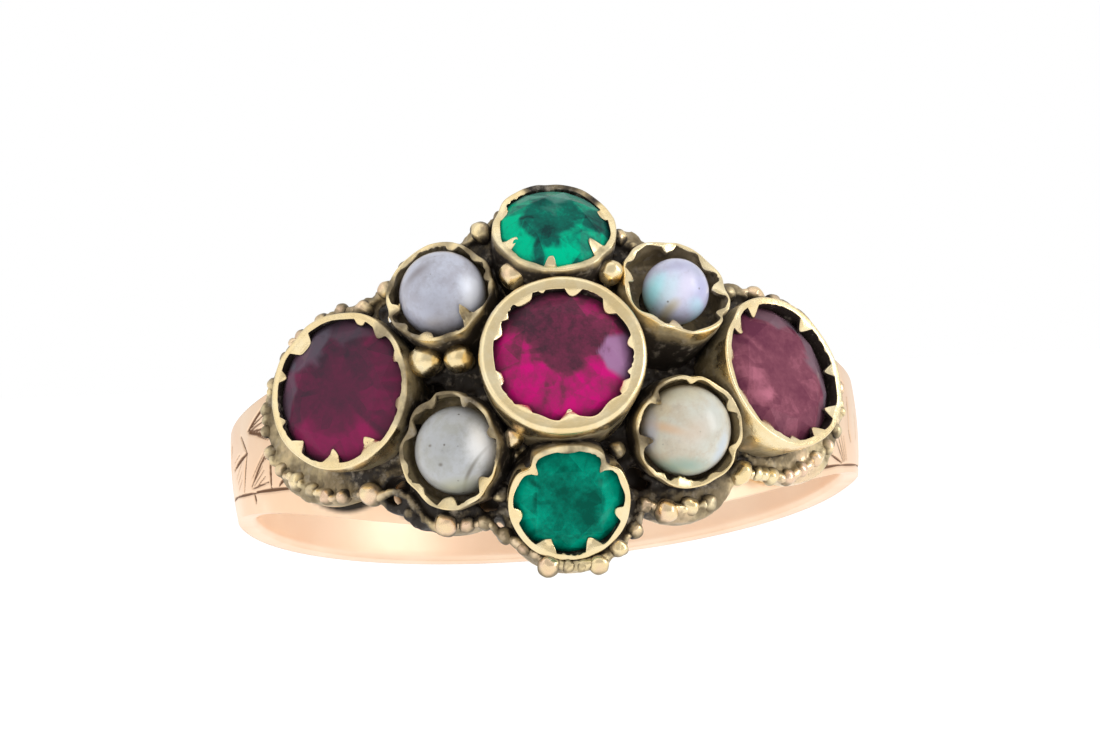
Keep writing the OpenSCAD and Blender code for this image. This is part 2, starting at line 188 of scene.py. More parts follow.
# Granules: turn, z, distance from the finger axis, radius.
GRANULES = [
    (-57.2, -0.95, 10.38, 0.24), (-54.4, -1.58, 10.38, 0.25),
    (-50.6, -2.10, 10.38, 0.29), (-47.0, -2.50, 10.38, 0.25),
    (-43.6, -2.80, 10.38, 0.26), (-40.2, -2.92, 10.38, 0.24),
    (-34.3, -3.06, 10.45, 0.38), (-27.0, -3.85, 10.38, 0.26),
    (-20.8, -4.34, 10.45, 0.37), (-17.2, -4.42, 10.38, 0.25),
    (-14.2, -4.38, 10.38, 0.26), (-11.0, -4.85, 10.38, 0.28),
    (-7.8, -5.26, 10.38, 0.26), (-4.0, -5.91, 10.38, 0.34),
    (-0.8, -5.94, 10.38, 0.21), (1.4, -5.95, 10.38, 0.19),
    (4.4, -5.93, 10.38, 0.32), (7.6, -5.42, 10.40, 0.31),
    (10.7, -4.86, 10.38, 0.26), (12.6, -4.12, 10.40, 0.26),
    (16.3, -4.32, 10.45, 0.39), (20.6, -4.10, 10.40, 0.31),
    (24.4, -3.98, 10.38, 0.27), (30.8, -3.00, 10.45, 0.37),
    (34.5, -2.94, 10.38, 0.24), (37.6, -2.97, 10.38, 0.27),
    (41.2, -2.94, 10.38, 0.27), (44.8, -2.62, 10.38, 0.27),
    (48.8, -2.20, 10.38, 0.27), (53.0, -1.70, 10.38, 0.26),
    (53.0, 1.40, 10.38, 0.26), (48.8, 1.95, 10.38, 0.26),
    (44.8, 2.30, 10.38, 0.26), (40.6, 2.55, 10.38, 0.26),
    (36.0, 2.66, 10.45, 0.31), (30.8, 2.62, 10.38, 0.27),
    (26.8, 3.02, 10.38, 0.26), (23.0, 3.50, 10.38, 0.26),
    (18.6, 3.76, 10.38, 0.26), (14.4, 3.72, 10.38, 0.26),
    (11.2, 4.22, 10.38, 0.27), (8.0, 4.82, 10.38, 0.26),
    (4.0, 5.10, 10.38, 0.26), (0.0, 5.15, 10.38, 0.26),
    (-4.0, 5.10, 10.38, 0.26), (-8.4, 4.98, 10.38, 0.26),
    (-12.1, 4.55, 10.42, 0.34), (-16.4, 4.05, 10.38, 0.26),
    (-20.8, 4.00, 10.38, 0.26), (-25.5, 3.75, 10.38, 0.25),
    (-29.2, 3.18, 10.38, 0.28), (-33.8, 2.68, 10.42, 0.33),
    (-38.4, 2.78, 10.38, 0.26), (-42.8, 2.66, 10.38, 0.26),
    (-47.4, 2.30, 10.38, 0.26), (-51.5, 1.80, 10.38, 0.26),
    (-11.2, -3.55, 10.50, 0.30), (26.5, -0.35, 10.45, 0.34),
    (-58.2, -0.25, 10.38, 0.21), (-57.8, 0.45, 10.38, 0.23), (-55.6, 1.12, 10.38, 0.24),
    (55.8, -1.10, 10.38, 0.25), (57.7, -0.45, 10.38, 0.24), (57.7, 0.28, 10.38, 0.23),
    (55.9, 0.90, 10.38, 0.25)]

# Larger worn lumps between the settings, and a bent wire, in the same terms.
WORN_LUMPS = [
    (-6.8, 2.90, 11.55, 0.44), (8.0, 2.85, 11.50, 0.38),
    (-8.2, -2.10, 11.35, 0.32), (8.0, -2.50, 10.85, 0.28), (-11.3, -2.05, 11.50, 0.13)]
WIRE = [(-32.8, -3.20), (-30.0, -3.10), (-27.1, -3.30), (-25.8, -3.74), (-24.2, -4.15),
        (-21.7, -4.55)]
WIRE_DIST = 10.48
BRIGHT_BEADS = [(-21.3, 0.56, 11.30, 0.52), (-15.9, 0.50, 11.35, 0.46)]

# Where the plate is darkened by soot and painted shade, or rubbed bright (below zero): turn, z,
# reach, amount.
SOOT_AND_SHADE_SPOTS = [
    (-20.7, -0.1, 1.0, 0.6), (24.0, 0.9, 0.9, 0.5), (-11.5, -3.2, 0.8, 0.5),
    (14.8, -3.1, 0.7, 0.5), (-27.6, -3.45, 0.7, 0.8), (-23.4, -4.25, 0.5, 0.6),
    (-36.5, -2.2, 0.7, 0.3),
    (-9.5, -1.2, 0.9, 0.5), (15.5, -1.3, 0.8, 0.5), (0.0, -1.8, 1.0, 0.5),
    (47.0, -2.6, 1.3, -0.22), (34.0, -3.3, 0.9, -0.25), (20.0, -4.2, 0.7, -0.12),
    (-52.0, -2.4, 1.2, -0.05), (-42.0, -3.1, 0.8, -0.05), (0.0, -5.9, 0.9, -0.1),
    (-7.0, 3.0, 0.5, -0.7), (8.6, 3.0, 0.5, -0.7), (-7.4, -2.4, 0.4, -0.8)]

# Pierced gaps through the plate: turn, z, radius.
GAPS = [(-22.6, -0.35, 0.50), (25.4, 0.95, 0.55), (-12.4, 2.95, 0.40),
        (12.2, 2.90, 0.38), (-13.4, -3.60, 0.42), (12.2, -3.20, 0.42),
        (-29.6, 2.46, 0.28), (-29.8, -3.05, 0.42)]


class Value:
    """A shader socket that takes arithmetic."""

    def __init__(self, finish, socket):
        self.finish = finish
        self.socket = socket

    def _math(self, operation, a, b=0.0):
        return self.finish.node("Math", {"operation": operation}, {0: a, 1: b})

    def __add__(self, other):
        return self._math("ADD", self, other)

    def __radd__(self, other):
        return self._math("ADD", other, self)

    def __sub__(self, other):
        return self._math("SUBTRACT", self, other)

    def __rsub__(self, other):
        return self._math("SUBTRACT", other, self)

    def __mul__(self, other):
        return self._math("MULTIPLY", self, other)

    def __rmul__(self, other):
        return self._math("MULTIPLY", other, self)

    def __pow__(self, other):
        return self._math("POWER", self, other)


class Finish:
    """One material with its node tree."""

    def __init__(self, name):
        self.material = bpy.data.materials.new(name)
        self.material.use_nodes = True
        self.tree = self.material.node_tree
        self.shader = self.tree.nodes["Principled BSDF"]

    def link(self, source, socket):
        """Links or sets a socket. A colour is given as three numbers."""
        if isinstance(source, Value):
            self.tree.links.new(source.socket, socket)
        elif isinstance(source, tuple):
            socket.default_value = (*source, 1)
        else:
            socket.default_value = source

    def node(self, kind, settings, values, out=0):
        made = self.tree.nodes.new("ShaderNode" + kind)
        for key, setting in settings.items():
            setattr(made, key, setting)
        for key, value in values.items():
            self.link(value, made.inputs[key])
        return Value(self, made.outputs[out])

    def noise(self, scale, detail=3.0, roughness=0.55):
        values = {"Vector": self.place(), "Scale": scale, "Detail": detail,
                  "Roughness": roughness}
        return self.node("TexNoise", {}, values, "Fac")

    def place(self):
        return self.node("TexCoord", {}, {}, "Object")

    def tagged(self, name):
        return self.node("Attribute", {"attribute_name": name}, {}, "Fac")

    def ramp(self, value, low, high, smooth=True):
        kind = "SMOOTHSTEP" if smooth else "LINEAR"
        return self.node("MapRange", {"interpolation_type": kind},
                         {"Value": value, "From Min": low, "From Max": high})

    def mix(self, amount, a, b):
        return self.node("Mix", {"data_type": "RGBA"}, {0: amount, 6: a, 7: b}, 2)

    def bump(self, height, distance, strength):
        values = {"Height": height, "Distance": distance, "Strength": strength}
        self.link(self.node("Bump", {}, values), self.shader.inputs["Normal"])

    def set(self, **inputs):
        for key, value in inputs.items():
            self.link(value, self.shader.inputs[key.replace("_", " ")])


# Camera and light

def place_camera():
    turn, roll = math.radians(3.896), math.radians(2.57)
    right = Vector((math.cos(turn) * math.cos(roll), -math.sin(turn),
                    -math.cos(turn) * math.sin(roll)))
    up = Vector((math.sin(roll), 0.0, math.cos(roll)))
    back = right.cross(up).normalized()
    distance = 280.0
    per_mm = 31.9
    image = (1100, 733)
    ring_centre = Vector((0, CENTRE_SHIFT, REST_HEIGHT))
    centre_pixel = (544.6, 451.0)
    at = (ring_centre + back * distance
          - right * ((centre_pixel[0] - image[0] / 2) / per_mm)
          - up * ((image[1] / 2 - centre_pixel[1]) / per_mm))
    lens = bpy.data.cameras.new("camera")
    lens.sensor_width = 36
    lens.lens = per_mm * distance / image[0] * lens.sensor_width
    lens.clip_start = 0.01
    lens.clip_end = 10
    camera = bpy.data.objects.new("camera", lens)
    bpy.context.scene.collection.objects.link(camera)
    at = at * MM
    camera.matrix_world = Matrix(((right.x, up.x, back.x, at.x),
                                  (right.y, up.y, back.y, at.y),
                                  (right.z, up.z, back.z, at.z), (0, 0, 0, 1)))
    bpy.context.scene.camera = camera


def soft_box(name, azimuth, height, away, size, power, tint=(1, 1, 1)):
    """An area light aimed at the ring. azimuth 0 is the camera's side, 90 the right."""
    light = bpy.data.lights.new(name, "AREA")
    light.shape = "RECTANGLE"
    light.size, light.size_y = size[0] * MM, size[1] * MM
    light.energy = power
    light.color = tint
    lamp = bpy.data.objects.new(name, light)
    aim = Vector((0, 0, 5 * MM))
    turn = math.radians(azimuth)
    lamp.location = Vector((math.sin(turn) * away, -math.cos(turn) * away, height)) * MM
    lamp.rotation_euler = (aim - lamp.location).to_track_quat("-Z", "Y").to_euler()
    bpy.context.scene.collection.objects.link(lamp)


def light_room():
    world = bpy.data.worlds.new("room")
    bpy.context.scene.world = world
    world.use_nodes = True
    tree = world.node_tree
    tree.nodes.clear()

    def add(kind, **values):
        made = tree.nodes.new("ShaderNode" + kind)
        for key, value in values.items():
            made.inputs[key].default_value = value
        return made

    out = tree.nodes.new("ShaderNodeOutputWorld")
    seen = add("Background", Color=(1, 1, 1, 1), Strength=1.0)
    lit = add("Background", Strength=1.0)
    path = tree.nodes.new("ShaderNodeLightPath")
    swap = tree.nodes.new("ShaderNodeMixShader")
    where = tree.nodes.new("ShaderNodeTexCoord")
    split = tree.nodes.new("ShaderNodeSeparateXYZ")
    ramp = tree.nodes.new("ShaderNodeValToRGB")
    stops = ramp.color_ramp.elements
    stops[0].position, stops[0].color = 0.02, (0.62, 0.61, 0.60, 1)
    stops[1].position, stops[1].color = 0.45, (0.88, 0.88, 0.88, 1)
    scale = tree.nodes.new("ShaderNodeMapRange")
    scale.inputs["From Min"].default_value = -1
    tree.links.new(where.outputs["Generated"], split.inputs[0])
    tree.links.new(split.outputs["Y"], scale.inputs["Value"])
    tree.links.new(scale.outputs[0], ramp.inputs[0])
    tree.links.new(ramp.outputs[0], lit.inputs["Color"])
    tree.links.new(path.outputs["Is Camera Ray"], swap.inputs[0])
    tree.links.new(lit.outputs[0], swap.inputs[1])
    tree.links.new(seen.outputs[0], swap.inputs[2])
    tree.links.new(swap.outputs[0], out.inputs["Surface"])
    soft_box("left_box", -48, 90, 150, (120, 150), 0.024, (1.0, 0.98, 0.95))
    soft_box("right_box", 66, 30, 130, (45, 120), 0.060)
    soft_box("top_box", 0, 170, 60, (160, 90), 0.020)
    bpy.context.scene.view_settings.view_transform = "Standard"


def lay_floor():
    finish = Finish("white_paper")
    finish.set(Base_Color=(0.12, 0.12, 0.12), Roughness=0.9, Specular_IOR_Level=0.0,
               Emission_Color=(1, 1, 1), Emission_Strength=1.0)
    mesh = bpy.data.meshes.new("floor")
    half = 1.5
    mesh.from_pydata([(-half, -half, 0), (half, -half, 0), (half, half, 0), (-half, half, 0)],
                     [], [(0, 1, 2, 3)])
    floor = bpy.data.objects.new("floor", mesh)
    mesh.materials.append(finish.material)
    bpy.context.scene.collection.objects.link(floor)


# Mesh helpers

def grid_faces(rows, columns, closed=False):
    """Quads between rows of points that each run all the way round."""
    j = np.arange(rows if closed else rows - 1)
    jj, ii = np.meshgrid(j, np.arange(columns), indexing="ij")
    j2, i2 = (jj + 1) % rows, (ii + 1) % columns
    quads = np.stack([jj * columns + ii, jj * columns + i2, j2 * columns + i2,
                      j2 * columns + ii], -1)
    return quads.reshape(-1, 4)


def as_mesh(name, points, faces, smooth=True):
    mesh = bpy.data.meshes.new(name)
    mesh.from_pydata(np.asarray(points, float).tolist(), [],
                     [tuple(f) for f in (faces.tolist() if hasattr(faces, "tolist") else faces)])
    if smooth:
        mesh.shade_smooth()
    else:
        mesh.shade_flat()
    mesh.update()
    return mesh


def tag(mesh, name, values):
    layer = mesh.attributes.new(name, "FLOAT", "POINT")
    layer.data.foreach_set("value", np.asarray(values, np.float32))


def points_of(mesh):
    flat = np.zeros(len(mesh.vertices) * 3, np.float32)
    mesh.vertices.foreach_get("co", flat)
    return flat.reshape(-1, 3).astype(float)


def normals_of(mesh):
    flat = np.zeros(len(mesh.vertices) * 3, np.float32)
    mesh.vertices.foreach_get("normal", flat)
    return flat.reshape(-1, 3).astype(float)


def move_points(mesh, points):
    mesh.vertices.foreach_set("co", np.asarray(points, np.float32).ravel())
    mesh.update()


def joined(meshes, name):
    """One mesh of several, with no shared points."""
    work = bmesh.new()
    for mesh in meshes:
        work.from_mesh(mesh)
    out = bpy.data.meshes.new(name)
    work.to_mesh(out)
    work.free()
    return out


def with_modifiers(mesh, add):
    """The mesh after the modifiers that add() puts on a scratch object."""
    scratch = bpy.data.objects.new("scratch", mesh)
    bpy.context.scene.collection.objects.link(scratch)
    helpers = add(scratch) or []
    graph = bpy.context.evaluated_depsgraph_get()
    out = bpy.data.meshes.new_from_object(scratch.evaluated_get(graph))
    for thing in [scratch, *helpers]:
        bpy.data.objects.remove(thing)
    return out


def fused_skin(mesh, voxel, smooth=0):
    """One closed skin round everything in the mesh."""
    def add(scratch):
        skin = scratch.modifiers.new("skin", "REMESH")
        skin.mode = "VOXEL"
        skin.voxel_size = voxel
        skin.use_smooth_shade = True
        if smooth:
            soft = scratch.modifiers.new("soft", "SMOOTH")
            soft.iterations = smooth
            soft.factor = 0.5
    return with_modifiers(mesh, add)


def ball(centre, radius, seed=0, rough=0.0, steps=3):
    """A bead, a little uneven."""
    work = bmesh.new()
    bmesh.ops.create_icosphere(work, subdivisions=steps, radius=1.0)
    pts = np.array([v.co[:] for v in work.verts])
    faces = [[v.index for v in f.verts] for f in work.faces]
    work.free()
    if rough:
        pts = pts * (1 + rough * lumps(pts * 2.1, seed))[:, None]
    return as_mesh("ball", pts * radius + centre, faces)


def lumps(points, seed):
    """Smooth seeded noise in about -1 to 1, from a few crossed waves."""
    rng = np.random.default_rng(seed)
    total = np.zeros(len(points))
    for k in range(7):
        wave = rng.normal(size=3)
        wave = wave / np.linalg.norm(wave) * (0.8 + 0.5 * k)
        total += np.sin(points @ wave + rng.uniform(0, 2 * math.pi)) / (1 + 0.35 * k)
    return total / 2.6


def waves(angles, seed, low=2, high=9):
    """Seeded ripple round a rim in about -1 to 1. angles in radians."""
    rng = np.random.default_rng(seed)
    total = np.zeros_like(angles)
    for k in range(low, high):
        total += rng.uniform(0.4, 1) * np.sin(k * angles + rng.uniform(0, 2 * math.pi))
    return total / math.sqrt(high - low) / 0.9


def on_cylinder(turn, dist, z):
    """Points round the finger axis, from numbers or from arrays of them."""
    turn = np.radians(turn)
    return np.stack([dist * np.sin(turn), -dist * np.cos(turn), z], -1)


def closeness(mesh, others, reach, rays):
    """How closed in each point is, from 0 in the open to 1 in a deep recess."""
    every = joined([mesh, *others], "recesses")
    tree = BVHTree.FromPolygons([v.co for v in every.vertices],
                                [p.vertices[:] for p in every.polygons])
    pts, nrm = points_of(mesh), normals_of(mesh)
    spray = np.random.default_rng(5).normal(size=(rays, 3))
    spray /= np.linalg.norm(spray, axis=1)[:, None]
    out = np.zeros(len(pts))
    for k, (p, n) in enumerate(zip(pts, nrm)):
        start = Vector(p + n * 0.012)
        hits = 0.0
        for d in spray:
            way = Vector(d + n * 1.02).normalized()
            found = tree.ray_cast(start, way, reach)
            if found[3] is not None:
                hits += 1 - 0.5 * found[3] / reach
        out[k] = hits / rays
    bpy.data.meshes.remove(every)
    return out


def place_piece(mesh, name, stand, finish, node):
    """Puts a mesh in millimetres into the scene, riding on the ring."""
    mesh.transform(Matrix.Scale(MM, 4) @ stand)
    mesh.materials.clear()
    mesh.materials.append(finish.material)
    mesh.name = name
    obj = bpy.data.objects.new(name, mesh)
    bpy.context.scene.collection.objects.link(obj)
    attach(obj, "root")
    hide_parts(node)


# Shank

# Engraved strokes on the shoulders: turn and z of each end, then half width and
# depth.
LEFT_STROKES = [
    # fan of rays
    ((-72.2, 0.60), (-61.5, 1.26), 0.070, 0.055), ((-72.0, 0.60), (-64.5, 0.82), 0.045, 0.035),
    ((-71.6, 0.57), (-64.2, 0.62), 0.045, 0.035), ((-71.6, 0.55), (-63.6, 0.35), 0.050, 0.040),
    ((-71.6, 0.52), (-62.6, 0.10), 0.070, 0.055), ((-67.6, 0.27), (-63.4, -0.02), 0.045, 0.035),
    # leaf at the outer side
    ((-76.4, 0.62), (-73.0, -0.08), 0.060, 0.050), ((-73.2, -0.06), (-83.5, -0.18), 0.075, 0.060),
    ((-73.2, -0.08), (-77.5, -1.10), 0.065, 0.050), ((-77.5, 0.10), (-82.5, 0.02), 0.035, 0.022),
    ((-77.0, -0.22), (-82.0, -0.50), 0.035, 0.022), ((-77.4, -0.45), (-81.5, -0.70), 0.035, 0.022),
    ((-77.8, -0.70), (-81.5, -0.90), 0.035, 0.022),
    # leaf in the middle
    ((-64.0, -0.34), (-72.8, -1.14), 0.060, 0.050), ((-65.2, -0.34), (-72.0, -0.92), 0.035, 0.030),
    ((-63.3, -0.62), (-64.6, -1.50), 0.075, 0.060), ((-71.4, -1.05), (-66.6, -0.74), 0.035, 0.028),
    ((-71.2, -1.15), (-66.2, -0.88), 0.035, 0.028), ((-70.6, -1.25), (-65.6, -1.06), 0.035, 0.028),
    ((-72.4, -1.22), (-65.0, -1.30), 0.045, 0.035), ((-66.4, -0.60), (-64.0, -0.52), 0.035, 0.028),
    # leaf beside the head
    ((-61.6, -1.53), (-59.0, -1.38), 0.065, 0.050), ((-60.6, -0.30), (-57.6, -0.90), 0.045, 0.030),
    # border
    ((-84.0, -1.02), (-70.5, -1.42), 0.055, 0.045), ((-71.0, -1.38), (-56.5, -1.80), 0.070, 0.055),
    ((-72.2, -1.40), (-72.0, -1.68), 0.080, 0.055),
    # out of the photo's sight, towards the back
    ((-84.0, -1.02), (-93.0, -0.80), 0.055, 0.045), ((-84.5, 0.70), (-90.5, -0.60), 0.060, 0.050),
    ((-84.5, 0.70), (-91.5, -0.10), 0.045, 0.035), ((-84.5, 0.70), (-92.0, 0.40), 0.045, 0.035)]
RIGHT_STROKES = [
    # long cuts
    ((71.0, 0.30), (70.6, -0.72), 0.050, 0.040), ((70.6, -0.70), (72.2, -1.05), 0.055, 0.045),
    ((60.7, -1.30), (61.8, -1.82), 0.055, 0.045), ((76.5, 0.10), (77.5, -0.90), 0.035, 0.028),
    # fan of rays
    ((62.6, -1.15), (67.6, -1.84), 0.050, 0.035), ((64.0, -1.00), (68.2, -1.80), 0.050, 0.035),
    ((65.6, -0.95), (68.8, -1.76), 0.045, 0.030), ((61.8, -1.80), (66.8, -1.88), 0.055, 0.045),
    ((67.2, -1.00), (69.6, -1.72), 0.040, 0.028),
    ((56.6, -2.02), (60.4, -2.16), 0.065, 0.050),
    # border
    ((51.0, -2.56), (66.0, -1.98), 0.060, 0.050), ((65.6, -2.00), (79.0, -1.56), 0.050, 0.040),
    # out of the photo's sight, towards the top and back
    ((62.0, 0.90), (70.0, 0.70), 0.060, 0.050), ((62.0, 0.20), (70.0, 0.66), 0.055, 0.045),
    ((63.0, 0.50), (70.0, 0.68), 0.045, 0.035), ((79.0, -1.56), (92.0, -1.22), 0.050, 0.040),
    ((80.0, 0.60), (90.0, -0.60), 0.060, 0.050), ((80.0, 0.60), (91.0, 0.00), 0.045, 0.035),
    ((80.0, 0.60), (91.0, 0.50), 0.045, 0.035)]


def within_plate(turn, z):
    """How far inside the plate's outline a point lies."""
    return np.max([radius - np.hypot(np.radians(turn - at_turn) * PLATE_OUT, z - at_z)
                   for at_turn, at_z, radius in LOBES], axis=0)


def edge_z(ahead, side):
    """Where the shank's edge lies, by how far ahead of the finger axis."""
    half, flare = (UP_HALF_W, FLARE_UP_R) if side > 0 else (LOW_HALF_W, FLARE_LOW_R)
    run = np.maximum(ahead + FLARE_START, 0)
    return side * (half + flare - np.sqrt(flare ** 2 - run ** 2))


def stroke_depth(turn, z, strokes):
    """Depth of the engraving at points of the shank's outer face."""
    along = np.radians(turn) * (BORE + SHANK_T)
    depth = np.zeros_like(along)
    for (t0, z0), (t1, z1), width, deep in strokes:
        a = np.array([math.radians(t0) * (BORE + SHANK_T), z0])
        b = np.array([math.radians(t1) * (BORE + SHANK_T), z1])
        d = b - a
        share = ((along - a[0]) * d[0] + (z - a[1]) * d[1]) / (d @ d)
        share = np.clip(share, 0, 1)
        off = np.hypot(along - a[0] - share * d[0], z - a[1] - share * d[1])
        here = 1.2 * width * (0.35 + 0.65 * np.sin(math.pi * np.clip(share * 0.85 + 0.1, 0, 1)))
        depth = np.maximum(depth, 1.3 * deep * np.clip(1 - off / here, 0, 1))
    return depth


def make_shank(finish):
    fine = np.arange(56, 100, 0.30)
    coarse = np.arange(100, 260, 1.5)
    front = np.arange(-56, 56, 1.5)
    turns = np.concatenate([front, fine, coarse, 360 - fine[::-1] - 0.15])
    turns = np.unique(np.round(turns, 3))
    ahead = np.cos(np.radians(turns)) * (BORE + SHANK_T)
    low, high = edge_z(ahead, -1), edge_z(ahead, 1)
    outer_rows = 84
    share = (1 - np.cos(np.linspace(0, math.pi, outer_rows))) / 2
    share = 0.25 * share + 0.75 * np.linspace(0, 1, outer_rows)
    crown = 12.0
    rows = []
    for s in share:
        z = low + (high - low) * s
        r = BORE + SHANK_T - (crown - np.sqrt(crown ** 2 - z ** 2))
        rows.append((r, z, np.full_like(z, 1.0)))
    edge = 0.07
    for s in np.linspace(0, 1, 6)[1:-1]:
        top_r = rows[outer_rows - 1][0]
        rows.append((top_r + (BORE + edge - top_r) * s, high + 0 * high, 0 * high))
    for s in np.linspace(0, 1, 16):
        z = high + (low - high) * s
        r = np.full_like(z, BORE)
        r = np.where((s < 0.03) | (s > 0.97), BORE + edge, r)
        rows.append((r, z, 0 * z))
    for s in np.linspace(0, 1, 6)[1:-1]:
        low_r = rows[0][0]
        rows.append((BORE + edge + (low_r - BORE - edge) * s, low + 0 * low, 0 * low))
    radius = np.array([r for r, z, o in rows])
    height = np.array([z for r, z, o in rows])
    outside = np.array([o for r, z, o in rows])
    wide = np.broadcast_to(turns, radius.shape)
    around = np.where(wide > 180, wide - 360, wide)
    cuts = (stroke_depth(around, height, LEFT_STROKES)
            + stroke_depth(around, height, RIGHT_STROKES)) * outside
    radius = radius - cuts
    # Painted shade, with some soot, on the outer face where it runs under the plate.
    shade_under_head = np.clip((within_plate(around, height) + 0.05) / 0.15, 0, 1) * outside
    points = on_cylinder(wide, radius, height).reshape(-1, 3)
    mesh = as_mesh("shank", points, grid_faces(len(rows), len(turns), True))
    tag(mesh, "engraved", np.clip(cuts.ravel() / 0.04, 0, 1))
    tag(mesh, "soot_and_shade", shade_under_head.ravel())
    tag(mesh, "inner", np.clip((BORE + 0.10 - radius.ravel()) / 0.06, 0, 1))
    place_piece(mesh, "shank", RESTING, finish, "ring_mount")


# Head

def lobe(turn, z, radius, rings=5, around=64):
    """A round lobe of the plate, curved with it."""
    alpha = np.linspace(0, 2 * math.pi, around, endpoint=False)
    shares = np.linspace(0, 1, rings + 1)[1:]
    layers = []
    for dist in (PLATE_OUT, PLATE_IN):
        layer = [on_cylinder(turn, dist, z)[None]]
        for share in shares:
            across = share * radius * np.cos(alpha)
            lay = turn + np.degrees(np.arcsin(across / dist))
            layer.append(on_cylinder(lay, dist, z + share * radius * np.sin(alpha)))
        layers.append(np.concatenate(layer))
    n = len(layers[0])
    faces = []
    for base, flip in ((0, False), (n, True)):
        for i in range(around):
            j = (i + 1) % around
            tri = [base, base + 1 + i, base + 1 + j]
            faces.append(tri[::-1] if flip else tri)
            for k in range(rings - 1):
                a, b = base + 1 + k * around, base + 1 + (k + 1) * around
                quad = [a + i, b + i, b + j, a + j]
                faces.append(quad[::-1] if flip else quad)
    last = 1 + (rings - 1) * around
    for i in range(around):
        j = (i + 1) % around
        faces.append([last + j, last + i, n + last + i, n + last + j])
    return as_mesh("lobe", np.concatenate(layers), faces)


def setting(name):
    return next(row for row in SETTINGS if row[0] == name)


def rim_stand(s):
    """From a setting's own frame, its rim at z = 0, to the ring's frame."""
    turn, z, dist, face, lean = s[1:6]
    at = on_cylinder(turn, dist, z)
    return Matrix.Translation(at) @ turned(face, "Z") @ turned(90 - lean, "X")


def solder_blobs(s, seed):
    """Small lumps where the foot of a collet meets the plate."""
    rng = np.random.default_rng(seed)
    stand = np.array(rim_stand(s))
    rim, depth = s[6], s[8]
    beads = [on_cylinder(turn, dist, z) for turn, z, dist, radius in BRIGHT_BEADS]
    count = int(rim * 13)
    blobs = []
    for k in range(count):
        angle = 2 * math.pi * (k + rng.uniform(-0.3, 0.3)) / count
        low, high = -3.5, 0.0
        for _ in range(18):
            z = (low + high) / 2
            wall = rim * (FOOT_SHARE + (1 - FOOT_SHARE) * max(0, min(1, (z + depth) / (depth - 0.5))))
            wall += 0.06
            local = np.array([wall * math.cos(angle), wall * math.sin(angle), z, 1])
            at = stand @ local
            if math.hypot(at[0], at[1]) > PLATE_OUT:
                high = z
            else:
                low = z
        at = (stand @ local)[:3]
        radius = rng.uniform(0.08, 0.17)
        within = within_plate(math.degrees(math.atan2(at[0], -at[1])), at[2])
        if within < 0.05 or min(np.linalg.norm(at - bead) for bead in beads) < 0.75:
            continue
        blobs.append(ball(at, radius, int(rng.integers(999)), 0.15, 2))
    return blobs


def make_plate(finish, neighbours):
    lobes = joined([lobe(*row) for row in LOBES], "lobes")
    body = fused_skin(lobes, 0.11)

    def pierce(scratch):
        helpers = []
        for turn, z, radius in GAPS:
            work = bmesh.new()
            bmesh.ops.create_cone(work, cap_ends=True, segments=28, radius1=radius,
                                  radius2=radius, depth=4)
            mesh = bpy.data.meshes.new("drill")
            work.to_mesh(mesh)
            work.free()
            at = on_cylinder(turn, 10.0, z)
            mesh.transform(Matrix.Translation(at) @ turned(turn, "Z") @ turned(90, "X"))
            drill = bpy.data.objects.new("drill", mesh)
            bpy.context.scene.collection.objects.link(drill)
            cut = scratch.modifiers.new("cut", "BOOLEAN")
            cut.operation = "DIFFERENCE"
            cut.solver = "MANIFOLD"
            cut.object = drill
            helpers.append(drill)
        return helpers

    body = with_modifiers(body, pierce)
    parts = [body]
    rng = np.random.default_rng(8)
    for k, (here, there) in enumerate(zip(GRANULES, GRANULES[1:])):
        a = on_cylinder(here[0], here[2], here[1])
        b = on_cylinder(there[0], there[2], there[1])
        if np.linalg.norm(b - a) > 1.1:
            continue
        for share in (0.36, 0.64):
            at = a + (b - a) * share + rng.uniform(-0.07, 0.07, 3)
            parts.append(ball(at, rng.uniform(0.12, 0.21), 300 + k, 0.2, 2))
    for k, (turn, z, dist, radius) in enumerate(GRANULES + WORN_LUMPS):
        at = on_cylinder(turn, dist - 0.3 * radius, z)
        parts.append(ball(at, radius * 0.92, 100 + k, 0.12))
    for (t0, z0), (t1, z1) in zip(WIRE, WIRE[1:]):
        for share in np.linspace(0, 1, 10, endpoint=False):
            at = on_cylinder(t0 + (t1 - t0) * share, WIRE_DIST, z0 + (z1 - z0) * share)
            parts.append(ball(at, 0.15, steps=2))
    for turn, z, dist, radius in BRIGHT_BEADS:
        for k in range(4):
            at = on_cylinder(turn, dist - 0.25 * k - 0.2, z + 0.06 * k)
            parts.append(ball(at, radius * 0.72, k, 0.1))
    for k, s in enumerate(SETTINGS):
        parts += solder_blobs(s, 40 + k)
    skin = fused_skin(joined(parts, "parts"), 0.075, 1)
    pts, nrm = points_of(skin), normals_of(skin)
    rough = 0.050 * lumps(pts * 4.5, 3) + 0.040 * lumps(pts * 10.0, 4)
    outer_side = np.clip((np.hypot(pts[:, 0], pts[:, 1]) - PLATE_IN - 0.1) / 0.3, 0.12, 1)
    skin_move = np.minimum(rough, 0.014) * outer_side
    move_points(skin, pts + nrm * skin_move[:, None])
    clear_wells(skin)
    skin.shade_smooth()
    tag(skin, "grime_and_shade", plate_grime_and_shade(skin, neighbours, 14))
    tag(skin, "rosy", np.ones(len(skin.vertices)))
    place_piece(skin, "base_plate", ON_SHANK, finish, "ring_mount")


